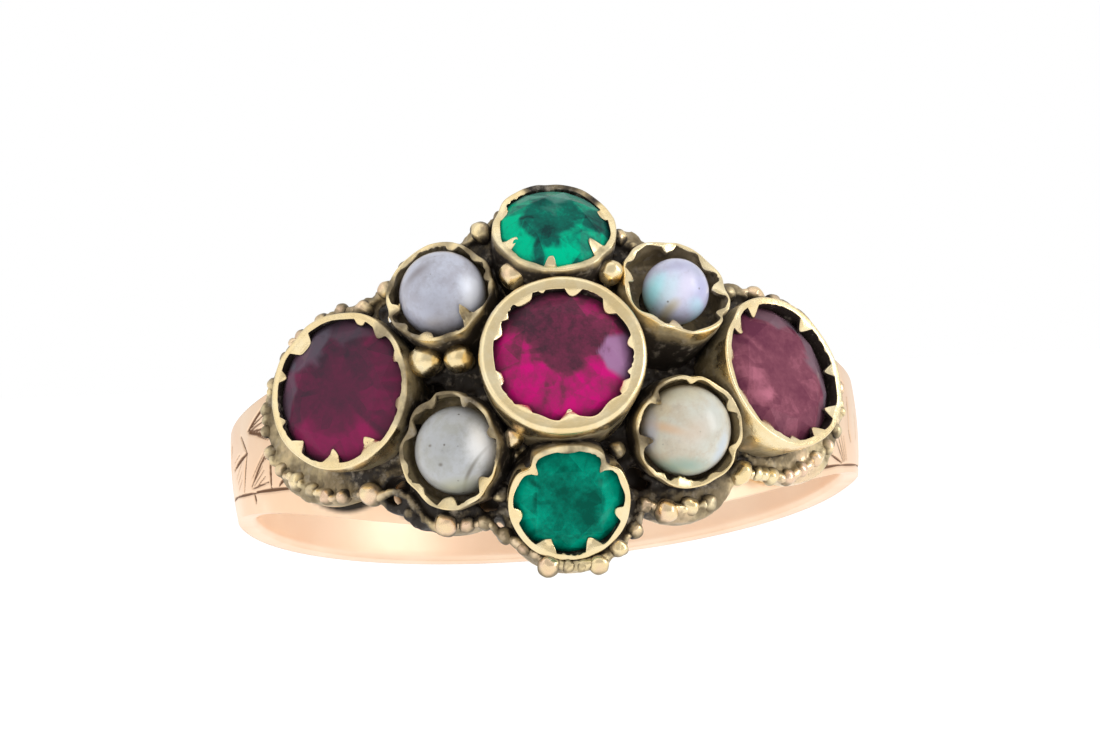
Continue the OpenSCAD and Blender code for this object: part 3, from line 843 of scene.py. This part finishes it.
def plate_grime_and_shade(mesh, neighbours, rays):
    """How dirty and how shaded each point of the plate or its granules is: dirt, painted shade in
    recesses, and raised tops made lighter.
    """
    pts = points_of(mesh)
    height = np.hypot(pts[:, 0], pts[:, 1]) - PLATE_OUT
    rubbed_and_lit_top = np.clip((height - 0.08) / 0.24, 0, 1)
    turn = np.degrees(np.arctan2(pts[:, 0], -pts[:, 1]))
    # Painted shade: the more closed in a point is, the darker it is made; raised tops are lighter,
    # partly from rubbed wear and partly as painted light.
    grime_and_shade = 0.42 + 0.9 * closeness(mesh, neighbours, 0.9, rays) - 0.42 * rubbed_and_lit_top
    for at_turn, at_z, reach, amount in SOOT_AND_SHADE_SPOTS:
        off = np.hypot(np.radians(turn - at_turn) * PLATE_OUT, pts[:, 2] - at_z)
        part = np.exp(-(off / reach) ** 2)
        grime_and_shade += amount * part * (1 - 0.6 * rubbed_and_lit_top * (amount > 0))
    return np.where(height < PLATE_IN + 0.12 - PLATE_OUT, 0.1, grime_and_shade)


def make_granules(finish, neighbours):
    parts = []
    for k, (turn, z, dist, radius) in enumerate(GRANULES + WORN_LUMPS):
        at = on_cylinder(turn, dist - 0.03, z)
        small = k < len(GRANULES)
        grain = ball(at, radius, 100 + k, 0.14 if small else 0.08, 4)
        if small:
            clear_wells(grain)
        parts.append(grain)
    mesh = joined(parts, "granules")
    mesh.shade_smooth()
    tag(mesh, "grime_and_shade", plate_grime_and_shade(mesh, neighbours, 8) + 0.10)
    tag(mesh, "rosy", np.full(len(mesh.vertices), 1.7))
    place_piece(mesh, "granules", ON_SHANK, finish, "ring_mount")


def tab_shape(angles, claws, rim):
    """How far the rim's inner edge reaches in, and how far the rim is pinched."""
    reach = np.zeros_like(angles)
    pinch = np.zeros_like(angles)
    for angle, deep, width, square, pull in claws:
        off = (np.degrees(angles) - angle + 180) % 360 - 180
        across = np.abs(np.radians(off) * rim) / (width / 2)
        reach = np.maximum(reach, deep * np.clip(1 - across ** square, 0, 1))
        pinch = np.maximum(pinch, pull * np.exp(-(across / 1.1) ** 2))
    return reach, pinch


def stone_top(s, radius):
    """Height of the stone's upper side in the setting's frame."""
    name = s[0]
    if name in PEARLS:
        ball_r, drop = PEARLS[name][:2]
        return -drop + np.sqrt(np.clip(ball_r ** 2 - radius ** 2, 0, None)) * (radius < ball_r)
    crown, table = CUTS[name][:2]
    r = s[6] - s[7] + LAP
    rise = crown * np.clip((r - radius) / (r - r * table), 0, 1)
    return rise - GIRDLE_DROP + LIFT[name]


def well_floor(name):
    """Height of the floor of a setting's well, below its rim."""
    if name in CUTS:
        return -GIRDLE_DROP - 0.35
    return 0.16 - PEARLS[name][1] - PEARLS[name][2]


def clear_wells(mesh):
    """Presses the plate down where it would stand inside a setting's well."""
    pts = points_of(mesh)
    for s in SETTINGS:
        stand = np.array(rim_stand(s))
        local = (pts - stand[:3, 3]) @ stand[:3, :3]
        floor = well_floor(s[0]) - 0.10
        inside = (np.hypot(local[:, 0], local[:, 1]) < s[6] - s[7] + 0.06)
        inside &= (local[:, 2] > floor) & (local[:, 2] < 0.5)
        local[inside, 2] = floor
        pts = local @ stand[:3, :3].T + stand[:3, 3]
    move_points(mesh, pts)


def collet_mesh(s, seed, columns=336):
    """A collet: tapered wall, rim, and claws folded in over the stone."""
    name = s[0]
    rim, wall, depth, wobble = s[6:]
    angles = np.linspace(0, 2 * math.pi, columns, endpoint=False)
    flat = np.zeros(columns)
    reach, pinch = tab_shape(angles, CLAWS[name], rim)
    sway = wobble * waves(angles, seed)
    rise = (0.8 if name in CUTS else 1.3) * wobble * waves(angles, seed + 1, 2, 7)
    outer = rim - np.clip(pinch - sway, 0, 0.3)
    teeth = 0.035 * np.clip(np.sin(angles * 46 + 2 * waves(angles, seed + 2)), 0, 1)
    teeth = teeth * np.clip(waves(angles, seed + 3, 2, 6), 0, 1)
    thin, uneven = (1.0, 0.16) if name in CUTS else (0.70, 0.46)
    wall_here = wall * thin * (1 + uneven * waves(angles, seed + 4, 3, 14))
    inner = outer - np.clip(wall_here, 0.07, 1)
    top = np.minimum(rise, 0) * 1.3 - 0.5 * pinch
    tip = reach + teeth
    open_r = rim - wall
    drop = 0.30 if name in CUTS else 0.10
    bead = 0.17 if wall > 0.3 else 0.055
    foot = rim * FOOT_SHARE
    floor_z = well_floor(name)
    thick = 0.13
    rows = [(foot + 0.10 + flat, -depth - 0.2 + flat),
            (foot + 0.02 + flat, -depth + 0.1 + flat)]
    for share in np.linspace(0.12, 1, 9):
        rows.append((foot + (outer - foot) * share ** 0.9,
                     -depth + (depth - 0.5) * share + flat))
    rows.append((outer + 0.004, -0.28 + top * 0.6))
    rows.append((outer, -bead * 1.3 + top))
    for share in (0.25, 0.55, 0.8, 1.0):
        turn_by = share * math.pi / 2
        rows.append((outer - bead * (1 - math.cos(turn_by)),
                     top - bead * (1 - math.sin(turn_by))))
    for share in (0.3, 0.65, 0.92):
        rows.append((outer - bead + (inner - outer + bead) * share,
                     top - 0.015 * share))
    for share in (0.15, 0.35, 0.6, 0.85, 0.97):
        here = inner - tip * share
        fold = top - 0.02 - drop * (tip * share) - 0.25 * tip * share ** 2
        rows.append((here, np.maximum(fold, stone_top(s, here) + 0.07)))
    tip_row = len(rows) - 1
    last_r, last_z = rows[-1]
    rows.append((inner - tip, last_z - 0.04))
    rows.append((inner - tip * 0.96, last_z - thick))
    rows.append((inner - tip * 0.4, np.minimum(last_z, top) - thick - 0.06))
    rows.append((open_r + flat, -0.30 + flat))
    rows.append((open_r + 0.01 + flat, (-0.30 + floor_z) / 2 + flat))
    rows.append((open_r + flat, floor_z + flat))
    if name in PEARLS:
        rows.append((open_r * 0.9 + flat, floor_z - 0.06 + flat))
        rows.append((open_r * 0.5 + flat, floor_z - 0.06 + flat))
    radius = np.array([r for r, z in rows])
    height = np.array([z for r, z in rows])
    across = OVAL.get(name, 1.0) * np.cos(angles)
    pts = np.stack([radius * across, radius * np.sin(angles), height], -1)
    mesh = as_mesh(name, pts.reshape(-1, 3), grid_faces(len(rows), columns))
    dull, arcs = DULLNESS[name]
    for at, spread, amount in arcs:
        off = (np.degrees(angles) - at + 180) % 360 - 180
        dull = dull + amount * np.clip((spread - np.abs(off)) / 12 + 0.5, 0, 1)
    dull = dull * np.clip(0.9 + 0.5 * waves(angles, seed + 6, 3, 12), 0, 1.5)
    start, over, amount = DARK_WALLS[name]
    wear_and_shade = dull + np.clip((-height - start) / over, 0, 1) * amount
    # Inside the wall, under the claws and down the well, the metal is painted in shade.
    inside = np.arange(len(rows))[:, None] > tip_row
    wear_and_shade = np.where(inside, LININGS.get(name, 0.95), wear_and_shade)
    tag(mesh, "wear_and_shade", wear_and_shade.ravel())
    mesh.transform(rim_stand(s))
    pts = points_of(mesh)
    from_axis = np.hypot(pts[:, 0], pts[:, 1])
    pts[:, :2] *= np.maximum(1, (PLATE_IN + 0.06) / from_axis)[:, None]
    move_points(mesh, pts)
    return mesh


def make_collets(finish, meshes):
    for mesh in meshes:
        others = [m for m in meshes if m is not mesh]
        wear_and_shade = np.zeros(len(mesh.vertices), np.float32)
        mesh.attributes["wear_and_shade"].data.foreach_get("value", wear_and_shade)
        # Closeness adds painted shade in recesses.
        tag(mesh, "grime_and_shade", wear_and_shade + 0.55 * closeness(mesh, others, 0.8, 10))
    for s, mesh in zip(SETTINGS, meshes):
        place_piece(mesh, s[0] + "_collet", ON_SHANK, finish, "ring_mount")


def make_beads(finish):
    parts = []
    for k, (turn, z, dist, radius) in enumerate(BRIGHT_BEADS):
        at = on_cylinder(turn, dist, z)
        parts.append(ball(at, radius * 0.99, 7 + k, 0.012, 4))
    mesh = joined(parts, "bright_beads")
    mesh.shade_smooth()
    # The beads are made darker towards the plate.
    low = np.clip((PLATE_OUT + 0.9 - np.hypot(*points_of(mesh)[:, :2].T)) * 0.6, 0, 0.6)
    tag(mesh, "grime_and_shade", 0.10 + low)
    place_piece(mesh, "bright_beads", ON_SHANK, finish, "ring_mount")


# Stones

def gem_mesh(name):
    """A cut stone with table, star, kite and girdle facets, in the setting's frame."""
    crown, table, deep, twist = CUTS[name]
    s = setting(name)
    r = s[6] - s[7] + LAP
    n = 8
    rt = r * table
    rm = 1.04 * (r + rt) / 2
    zm = crown * (r - rm * math.cos(math.pi / n)) / (r - rt)
    half = 0.035

    def ring(radius, z, off):
        a = (np.arange(n) + off) * 2 * math.pi / n + math.radians(twist)
        return np.stack([radius * np.cos(a), radius * np.sin(a), np.full(n, z)], -1)

    pts = np.concatenate([ring(rt, crown, 0), ring(rm, zm, 0.5), ring(r, half, 0),
                          ring(r, half, 0.5), ring(r, -half, 0), ring(r, -half, 0.5),
                          [[0, 0, -deep]]])
    pts[:, 2] -= GIRDLE_DROP - LIFT[name]

    def at(band, k):
        return band * n + k % n

    faces = [[at(0, k) for k in range(n)]]
    for k in range(n):
        faces += [[at(0, k), at(1, k), at(0, k + 1)], [at(0, k), at(2, k), at(1, k)],
                  [at(0, k + 1), at(1, k), at(2, k + 1)], [at(1, k), at(2, k), at(3, k)],
                  [at(1, k), at(3, k), at(2, k + 1)],
                  [at(2, k), at(4, k), at(5, k), at(3, k)],
                  [at(3, k), at(5, k), at(4, k + 1), at(2, k + 1)],
                  [at(4, k), 6 * n, at(5, k)], [at(5, k), 6 * n, at(4, k + 1)]]
    mesh = as_mesh(name, pts, faces, False)
    facet = mesh.attributes.new("facet", "FLOAT", "FACE")
    tints = np.random.default_rng(len(name) * 7).uniform(-1, 1, len(faces))
    tints[0] = 0
    facet.data.foreach_set("value", tints.astype(np.float32))
    work = bmesh.new()
    work.from_mesh(mesh)
    bmesh.ops.triangulate(work, faces=work.faces[:])
    bmesh.ops.subdivide_edges(work, edges=work.edges[:], cuts=11, use_grid_fill=True)
    work.to_mesh(mesh)
    work.free()
    mesh.shade_flat()
    return mesh, s, r


# Light and dark wedges seen through each crown: angle, half spread, inner and
# outer radius as shares of the girdle, and how much light they add.
WEDGES = {
    "centre": [
        (228, 32, 0.28, 1.0, 0.55), (280, 22, 0.34, 1.0, 0.46), (318, 22, 0.30, 1.0, 0.42),
        (182, 18, 0.45, 1.0, 0.42), (158, 7, 0.55, 0.9, 0.25), (225, 50, 0.05, 0.34, 0.10),
        (0, 180, 0.0, 0.30, -0.20),
        (262, 4, 0.35, 0.75, -0.32), (298, 3, 0.50, 0.85, -0.40), (240, 3, 0.45, 0.80, -0.35),
        (110, 50, 0.3, 1.0, -0.10)],
    "left": [
        (262, 48, 0.55, 0.95, 0.36), (262, 48, 0.20, 0.55, 0.10), (345, 40, 0.30, 0.95, 0.10),
        (30, 40, 0.55, 1.0, 0.02), (90, 34, 0.45, 1.0, -0.18), (170, 40, 0.25, 0.6, -0.10),
        (300, 9, 0.50, 0.8, 0.35)],
    "right": [
        (205, 30, 0.30, 0.72, 0.26), (178, 20, 0.34, 0.8, 0.20), (275, 26, 0.3, 0.6, 0.16),
        (252, 28, 0.70, 1.0, -0.16), (200, 22, 0.84, 1.0, -0.12), (222, 8, 0.34, 0.62, 0.50),
        (8, 30, 0.30, 0.68, 0.22), (140, 5, 0.35, 0.75, 0.30),
        (90, 40, 0.25, 0.9, -0.14), (130, 24, 0.5, 1.0, -0.10)],
    "top": [
        (202, 36, 0.58, 1.0, 0.75), (312, 30, 0.36, 1.0, 0.50), (268, 14, 0.64, 1.0, 0.65),
        (248, 26, 0.20, 0.58, -0.20), (350, 24, 0.50, 1.0, -0.12), (140, 34, 0.50, 1.0, 0.40),
        (60, 40, 0.45, 1.0, 0.30)],
    "bottom": [
        (125, 24, 0.62, 1.0, 0.26), (185, 30, 0.60, 1.0, 0.48), (350, 34, 0.60, 1.0, 0.42),
        (60, 24, 0.60, 1.0, 0.20), (90, 60, 0.30, 0.60, 0.12), (230, 60, 0.30, 0.60, 0.12),
        (0, 30, 0.0, 0.45, -0.16), (100, 50, 0.0, 0.3, -0.16), (270, 34, 0.12, 0.3, 0.14),
        (318, 12, 0.35, 0.9, -0.2), (300, 30, 0.72, 1.0, 0.2)]}

# Pale reflections on each stone, in the same terms.
SHEENS = {
    "centre": [(-3, 21, 0.46, 0.95, 1.0)],
    "left": [(170, 26, 0.62, 1.0, 0.50), (125, 26, 0.5, 1.0, 0.60), (80, 30, 0.6, 1.0, 0.3)],
    "right": [(20, 45, 0.50, 1.0, 0.75), (85, 30, 0.6, 1.0, 0.6), (330, 26, 0.7, 1.0, 0.35)],
    "top": [(80, 55, 0.3, 0.95, 0.60), (100, 40, 0.0, 0.3, 0.2)],
    "bottom": [(335, 14, 0.58, 0.72, 0.25), (30, 14, 0.58, 0.66, 0.2)]}


def wedge_light(angle, share, wedges, pointed=0.0):
    """Light of the wedges at each point. pointed narrows them towards the middle."""
    soft = 0.06
    total = np.zeros_like(angle)
    for at, spread, inner, outer, light in wedges:
        off = np.abs((angle - at + 180) % 360 - 180)
        side = np.clip((spread - off) / 6 + 0.5, 0, 1)
        start = inner + pointed * off
        far = np.clip((share - start) / soft + 0.5, 0, 1)
        near = np.clip((outer - share) / soft + 0.5, 0, 1)
        total += light * side * far * near
    return total


def make_gem(name, node, finish):
    mesh, s, r = gem_mesh(name)
    pts = points_of(mesh)
    away = np.hypot(pts[:, 0], pts[:, 1])
    pinch = tab_shape(np.arctan2(pts[:, 1], pts[:, 0]), CLAWS[name], s[6])[1]
    pts[:, :2] *= np.minimum(1, (s[6] - pinch - 0.09) / np.maximum(away, 0.01))[:, None]
    move_points(mesh, pts)
    angle = np.degrees(np.arctan2(pts[:, 1], pts[:, 0]))
    share = away / r
    bent = angle + 9 * lumps(pts * 2.2, 3 + len(name))
    moved = share + 0.06 * lumps(pts * 3.0, 31 + len(name))
    tag(mesh, "across", pts[:, 0] / r)
    tag(mesh, "upwards", pts[:, 1] / r)
    tag(mesh, "glow", wedge_light(bent, moved, WEDGES[name]))
    tag(mesh, "sheen", wedge_light(angle, share, SHEENS[name], 0.008))
    # Painted shade: the stone darkens towards its girdle, under the collet's rim.
    tag(mesh, "rim", np.clip((share - 0.86) / 0.12, 0, 1))
    rays = waves(np.radians(angle), 77 + len(name), 11, 36)
    tag(mesh, "rays", rays * np.clip(share * 2.2 - 0.5, 0, 1))
    place_piece(mesh, node + "_stone", ON_SHANK @ rim_stand(s), finish, node)


def make_pearl(name, node, finish, seed):
    radius, drop, flat, aside, upward = PEARLS[name]
    s = setting(name)
    columns, rows = 96, 48
    angles = np.linspace(0, 2 * math.pi, columns, endpoint=False)
    low = math.asin(-flat / radius)
    lats = np.linspace(low, math.pi / 2 - 0.01, rows)
    grid = [[0 * angles, 0 * angles, -flat + 0 * angles]]
    for lat in lats:
        grid.append([radius * math.cos(lat) * np.cos(angles),
                     radius * math.cos(lat) * np.sin(angles),
                     radius * math.sin(lat) + 0 * angles])
    pts = np.stack([np.stack(row, -1) for row in grid]).reshape(-1, 3)
    dent = 0.010 * radius * (lumps(pts * 1.6, seed) - 1)
    length = np.linalg.norm(pts, axis=1)[:, None]
    pts[columns:] += (pts[columns:] / length[columns:]) * dent[columns:, None]
    mesh = as_mesh(name, pts + (aside, upward, -drop), grid_faces(rows + 1, columns))
    unit = pts / radius
    tag(mesh, "across", unit[:, 0])
    tag(mesh, "upwards", unit[:, 1])
    place_piece(mesh, name + "_half_pearl", ON_SHANK @ rim_stand(s), finish, node)


# Finishes

def rose_gold():
    f = Finish("rose_gold")
    engraved = f.tagged("engraved")
    cloud = f.noise(420, 3)
    fine = f.noise(2600, 4, 0.7)
    base = f.mix(f.ramp(cloud, 0.35, 0.7), (0.95, 0.66, 0.44), (0.99, 0.76, 0.55))
    base = f.mix(f.ramp(engraved, 0.15, 0.9), base, (0.20, 0.10, 0.05))
    # Painted shade, with some soot, where the shank runs under the plate.
    base = f.mix(f.tagged("soot_and_shade"), base, (0.02, 0.013, 0.008))
    base = f.mix(f.tagged("inner") * 0.6, base, (0.92, 0.72, 0.56))
    f.set(Base_Color=base, Metallic=1.0 - 0.4 * engraved - 0.4 * f.tagged("soot_and_shade"),
          Roughness=0.27 + 0.10 * fine + 0.4 * engraved + 0.15 * f.tagged("inner"))
    f.bump(fine, 0.000004, 0.5)
    return f


def worn_gold():
    f = Finish("worn_gold")
    grime_and_shade = f.tagged("grime_and_shade")
    patch = f.noise(900, 4, 0.65)
    fine = f.noise(4200, 4, 0.7)
    # Brown where grime and painted shade build up, then near-black in the deepest recesses, painted
    # shade with soot.
    dirt_and_shade = f.ramp(grime_and_shade + 0.85 * (patch - 0.5), 0.12, 0.52)
    soot_and_shade = f.ramp(grime_and_shade + 0.50 * (fine - 0.5), 0.42, 0.78)
    clean = f.mix(f.ramp(patch, 0.3, 0.75), (0.88, 0.69, 0.37), (0.95, 0.82, 0.54))
    blush = f.ramp(f.noise(640, 3), 0.42, 0.62) * f.tagged("rosy") * 0.5
    clean = f.mix(blush, clean, (0.84, 0.58, 0.42))
    tone = f.mix(dirt_and_shade, clean, (0.23, 0.175, 0.095))
    tone = f.mix(soot_and_shade, tone, (0.025, 0.018, 0.013))
    crust = f.ramp(f.noise(2300, 4, 0.65), 0.52, 0.70) * f.ramp(grime_and_shade, 0.15, 0.45) * 0.55
    tone = f.mix(crust, tone, (0.45, 0.39, 0.31))
    f.set(Base_Color=tone, Metallic=1.0 - 0.7 * dirt_and_shade, Roughness=0.26 + 0.32 * dirt_and_shade)
    f.bump(fine, 0.000018, 0.8)
    return f


def gem_finish(name, dark, mid, bright, sheen, flaws=1.0, facets=0.18):
    """A cut stone, with the shards of light that its back facets throw."""
    f = Finish(name)
    cloud = f.noise(520, 5, 0.6)
    silk = f.noise(1700, 6, 0.75)
    across, upwards = f.tagged("across"), f.tagged("upwards")
    far = (across * across + upwards * upwards) ** 0.5
    angle = f.node("Math", {"operation": "ARCTAN2"}, {0: upwards, 1: across})
    polar = f.node("CombineXYZ", {}, {"X": angle * 2.3, "Y": far * 3.2})
    shard = f.node("TexVoronoi", {"voronoi_dimensions": "2D"},
                   {"Vector": polar, "Scale": 1.0, "Randomness": 0.8}, "Color")
    fine = f.node("TexVoronoi", {"voronoi_dimensions": "2D"},
                  {"Vector": polar, "Scale": 2.7, "Randomness": 0.9}, "Color")
    shards = 0.34 * (shard - 0.5) + 0.16 * (fine - 0.5)
    grain = f.noise(6500, 3, 0.7)
    glow = (0.30 + 0.9 * f.tagged("glow") + 0.8 * flaws * (cloud - 0.5)
            + 0.95 * flaws * (silk - 0.5) + 0.50 * flaws * (grain - 0.5)
            + 0.05 * f.tagged("rays") + facets * f.tagged("facet")
            + shards * f.ramp(far, 0.15, 0.5))
    tone = f.mix(f.ramp(glow, 0.0, 0.45, False), dark, mid)
    tone = f.mix(f.ramp(glow, 0.4, 1.0, False), tone, bright)
    tone = f.mix(f.tagged("sheen") * f.ramp(silk, 0.0, 0.5), tone, sheen)
    # Painted shade at the stone's outer edge.
    tone = f.mix(f.tagged("rim") * 0.75, tone, dark)
    f.set(Base_Color=tone, Roughness=0.06 + 0.12 * silk, IOR=1.4, Specular_IOR_Level=0.06)
    return f


def pearl_finish(name, tone, cool, warm, tints, seed):
    """Nacre. tints: x, y, half length, half width, angle, colour and amount of each patch, mostly
    stains and nacre tints; the near-white ones at the right are painted highlights.
    """
    f = Finish(name)
    across, upwards = f.tagged("across"), f.tagged("upwards")
    shift = f.noise(330 + 20 * seed, 2)
    silk = f.noise(1300 + 70 * seed, 6, 0.7)
    skin = f.noise(4200, 4, 0.7)
    base = f.mix(f.ramp(shift, 0.35, 0.65), tone, cool)
    base = f.mix(f.ramp(silk, 0.38, 0.66) * 0.8, base, warm)
    base = f.mix(f.ramp(skin, 0.50, 0.75) * 0.22, base, (0.16, 0.14, 0.13))
    for x, y, long, short, angle, colour, amount in tints:
        c, s = math.cos(math.radians(angle)), math.sin(math.radians(angle))
        along = ((across - x) * c + (upwards - y) * s) * (1 / long)
        aside = ((upwards - y) * c - (across - x) * s) * (1 / short)
        off = (along * along + aside * aside) ** 0.5 + 0.9 * (silk - 0.5)
        base = f.mix(f.ramp(off, 1.7, 0.1) * amount, base, colour)
    pits = f.node("TexVoronoi", {}, {"Vector": f.place(), "Scale": 2600.0, "Randomness": 1.0},
                  "Distance")
    spot = f.ramp(pits, 0.12, 0.05) * f.ramp(f.noise(700, 2), 0.54, 0.64)
    base = f.mix(spot * 0.8, base, (0.08, 0.065, 0.05))
    # Painted shade: the nacre turns brown towards the pearl's outline.
    edge = f.node("LayerWeight", {}, {"Blend": 0.5}, "Facing")
    base = f.mix(f.ramp(edge, 0.70, 1.0) * 0.8, base, (0.12, 0.085, 0.055))
    f.set(Base_Color=base, Roughness=0.28 + 0.12 * skin, Coat_Weight=0.4,
          Coat_Roughness=0.18)
    f.bump(silk, 0.00002, 0.6)
    return f


place_camera()
light_room()
lay_floor()

rose, worn = rose_gold(), worn_gold()
ruby_bright = gem_finish("ruby_pink", (0.066, 0.028, 0.042), (0.200, 0.032, 0.078),
                         (0.58, 0.009, 0.185), (0.36, 0.18, 0.34))
ruby_plum = gem_finish("ruby_plum", (0.058, 0.030, 0.045), (0.140, 0.026, 0.062),
                       (0.27, 0.020, 0.092), (0.14, 0.120, 0.155), 0.55, 0.10)
ruby_rose = gem_finish("ruby_rose", (0.130, 0.030, 0.060), (0.240, 0.074, 0.108),
                       (0.48, 0.160, 0.225), (0.19, 0.145, 0.175), 0.75, 0.15)
emerald_light = gem_finish("emerald_light", (0.008, 0.045, 0.042), (0.006, 0.160, 0.115),
                           (0.0, 0.52, 0.28), (0.130, 0.280, 0.240))
emerald_deep = gem_finish("emerald_deep", (0.0, 0.085, 0.056), (0.0, 0.215, 0.140),
                          (0.0, 0.42, 0.27), (0.06, 0.32, 0.24), 1.0, 0.22)

make_shank(rose)
collets = [collet_mesh(s, 11 * k + 3) for k, s in enumerate(SETTINGS)]
make_granules(worn, collets)
make_plate(worn, collets)
make_collets(worn, collets)
make_beads(worn)

make_gem("centre", "centre_ruby", ruby_bright)
make_gem("left", "left_ruby", ruby_plum)
make_gem("right", "right_ruby", ruby_rose)
make_gem("top", "top_emerald", emerald_light)
make_gem("bottom", "bottom_emerald", emerald_deep)

LAVENDER = pearl_finish(
    "pearl_lavender", (0.49, 0.50, 0.61), (0.57, 0.60, 0.71), (0.40, 0.39, 0.45),
    [(0.05, -0.30, 0.60, 0.45, 60, (0.29, 0.30, 0.37), 0.20),
     (0.22, -0.70, 0.45, 0.25, 0, (0.30, 0.30, 0.36), 0.45),
     # A painted highlight at the right.
     (0.85, -0.20, 0.44, 0.20, 85, (0.84, 0.88, 1.00), 0.85),
     (-0.35, 0.12, 0.35, 0.12, 30, (0.22, 0.19, 0.20), 0.7),
     (-0.05, -0.93, 0.40, 0.10, 0, (0.26, 0.21, 0.17), 0.35)], 1)
IRIDESCENT = pearl_finish(
    "pearl_iridescent", (0.58, 0.60, 0.82), (0.68, 0.71, 0.90), (0.54, 0.53, 0.70),
    [(-0.20, 0.25, 0.50, 0.20, 0, (0.42, 0.42, 0.60), 0.6),
     (0.25, 0.00, 0.40, 0.22, 40, (0.42, 0.44, 0.58), 0.7),
     (-0.90, -0.32, 0.50, 0.24, 80, (0.42, 0.90, 1.00), 0.9),
     (-0.52, -0.45, 0.40, 0.26, 70, (0.66, 0.86, 0.98), 0.8),
     (-0.10, -0.40, 0.45, 0.28, 60, (0.80, 0.76, 0.95), 0.75),
     (0.45, -0.45, 0.40, 0.26, 60, (0.46, 0.46, 0.70), 0.8),
     (0.35, -0.84, 0.32, 0.14, 0, (0.52, 0.80, 0.95), 0.7),
     (-0.50, -0.83, 0.20, 0.11, 0, (0.60, 0.53, 0.38), 0.85)], 2)
SILVER = pearl_finish(
    "pearl_silver", (0.48, 0.49, 0.50), (0.55, 0.57, 0.60), (0.40, 0.40, 0.36),
    [(0.20, 0.00, 0.60, 0.45, 70, (0.30, 0.31, 0.32), 0.25),
     # A painted highlight at the right.
     (0.82, 0.06, 0.46, 0.26, 85, (1.00, 1.00, 1.00), 0.95),
     (0.42, -0.58, 0.52, 0.035, 50, (0.17, 0.15, 0.12), 0.8),
     (0.05, -0.80, 0.50, 0.16, 0, (0.42, 0.42, 0.31), 0.8),
     (-0.10, -0.30, 0.05, 0.04, 0, (0.14, 0.12, 0.09), 0.8),
     (-0.30, 0.15, 0.04, 0.03, 0, (0.16, 0.13, 0.10), 0.8)], 3)
CREAM = pearl_finish(
    "pearl_cream", (0.62, 0.57, 0.45), (0.64, 0.64, 0.56), (0.56, 0.48, 0.36),
    [(-0.30, 0.78, 0.50, 0.16, 0, (0.58, 0.56, 0.42), 0.6),
     (0.33, 0.25, 0.50, 0.30, 60, (0.59, 0.61, 0.56), 0.7),
     (-0.10, 0.00, 0.40, 0.25, 30, (0.74, 0.60, 0.48), 0.5),
     (-0.68, 0.06, 0.34, 0.10, -15, (0.70, 0.49, 0.32), 0.85),
     (-0.93, -0.10, 0.50, 0.10, 85, (0.56, 0.60, 0.76), 0.7),
     (-0.25, -0.76, 0.55, 0.18, 0, (0.27, 0.40, 0.32), 0.85),
     (0.60, -0.35, 0.40, 0.14, 75, (0.50, 0.60, 0.72), 0.6)], 4)
make_pearl("upper_left", "upper_left_pearl", LAVENDER, 1)
make_pearl("upper_right", "upper_right_pearl", IRIDESCENT, 2)
make_pearl("lower_left", "lower_left_pearl", SILVER, 3)
make_pearl("lower_right", "lower_right_pearl", CREAM, 4)
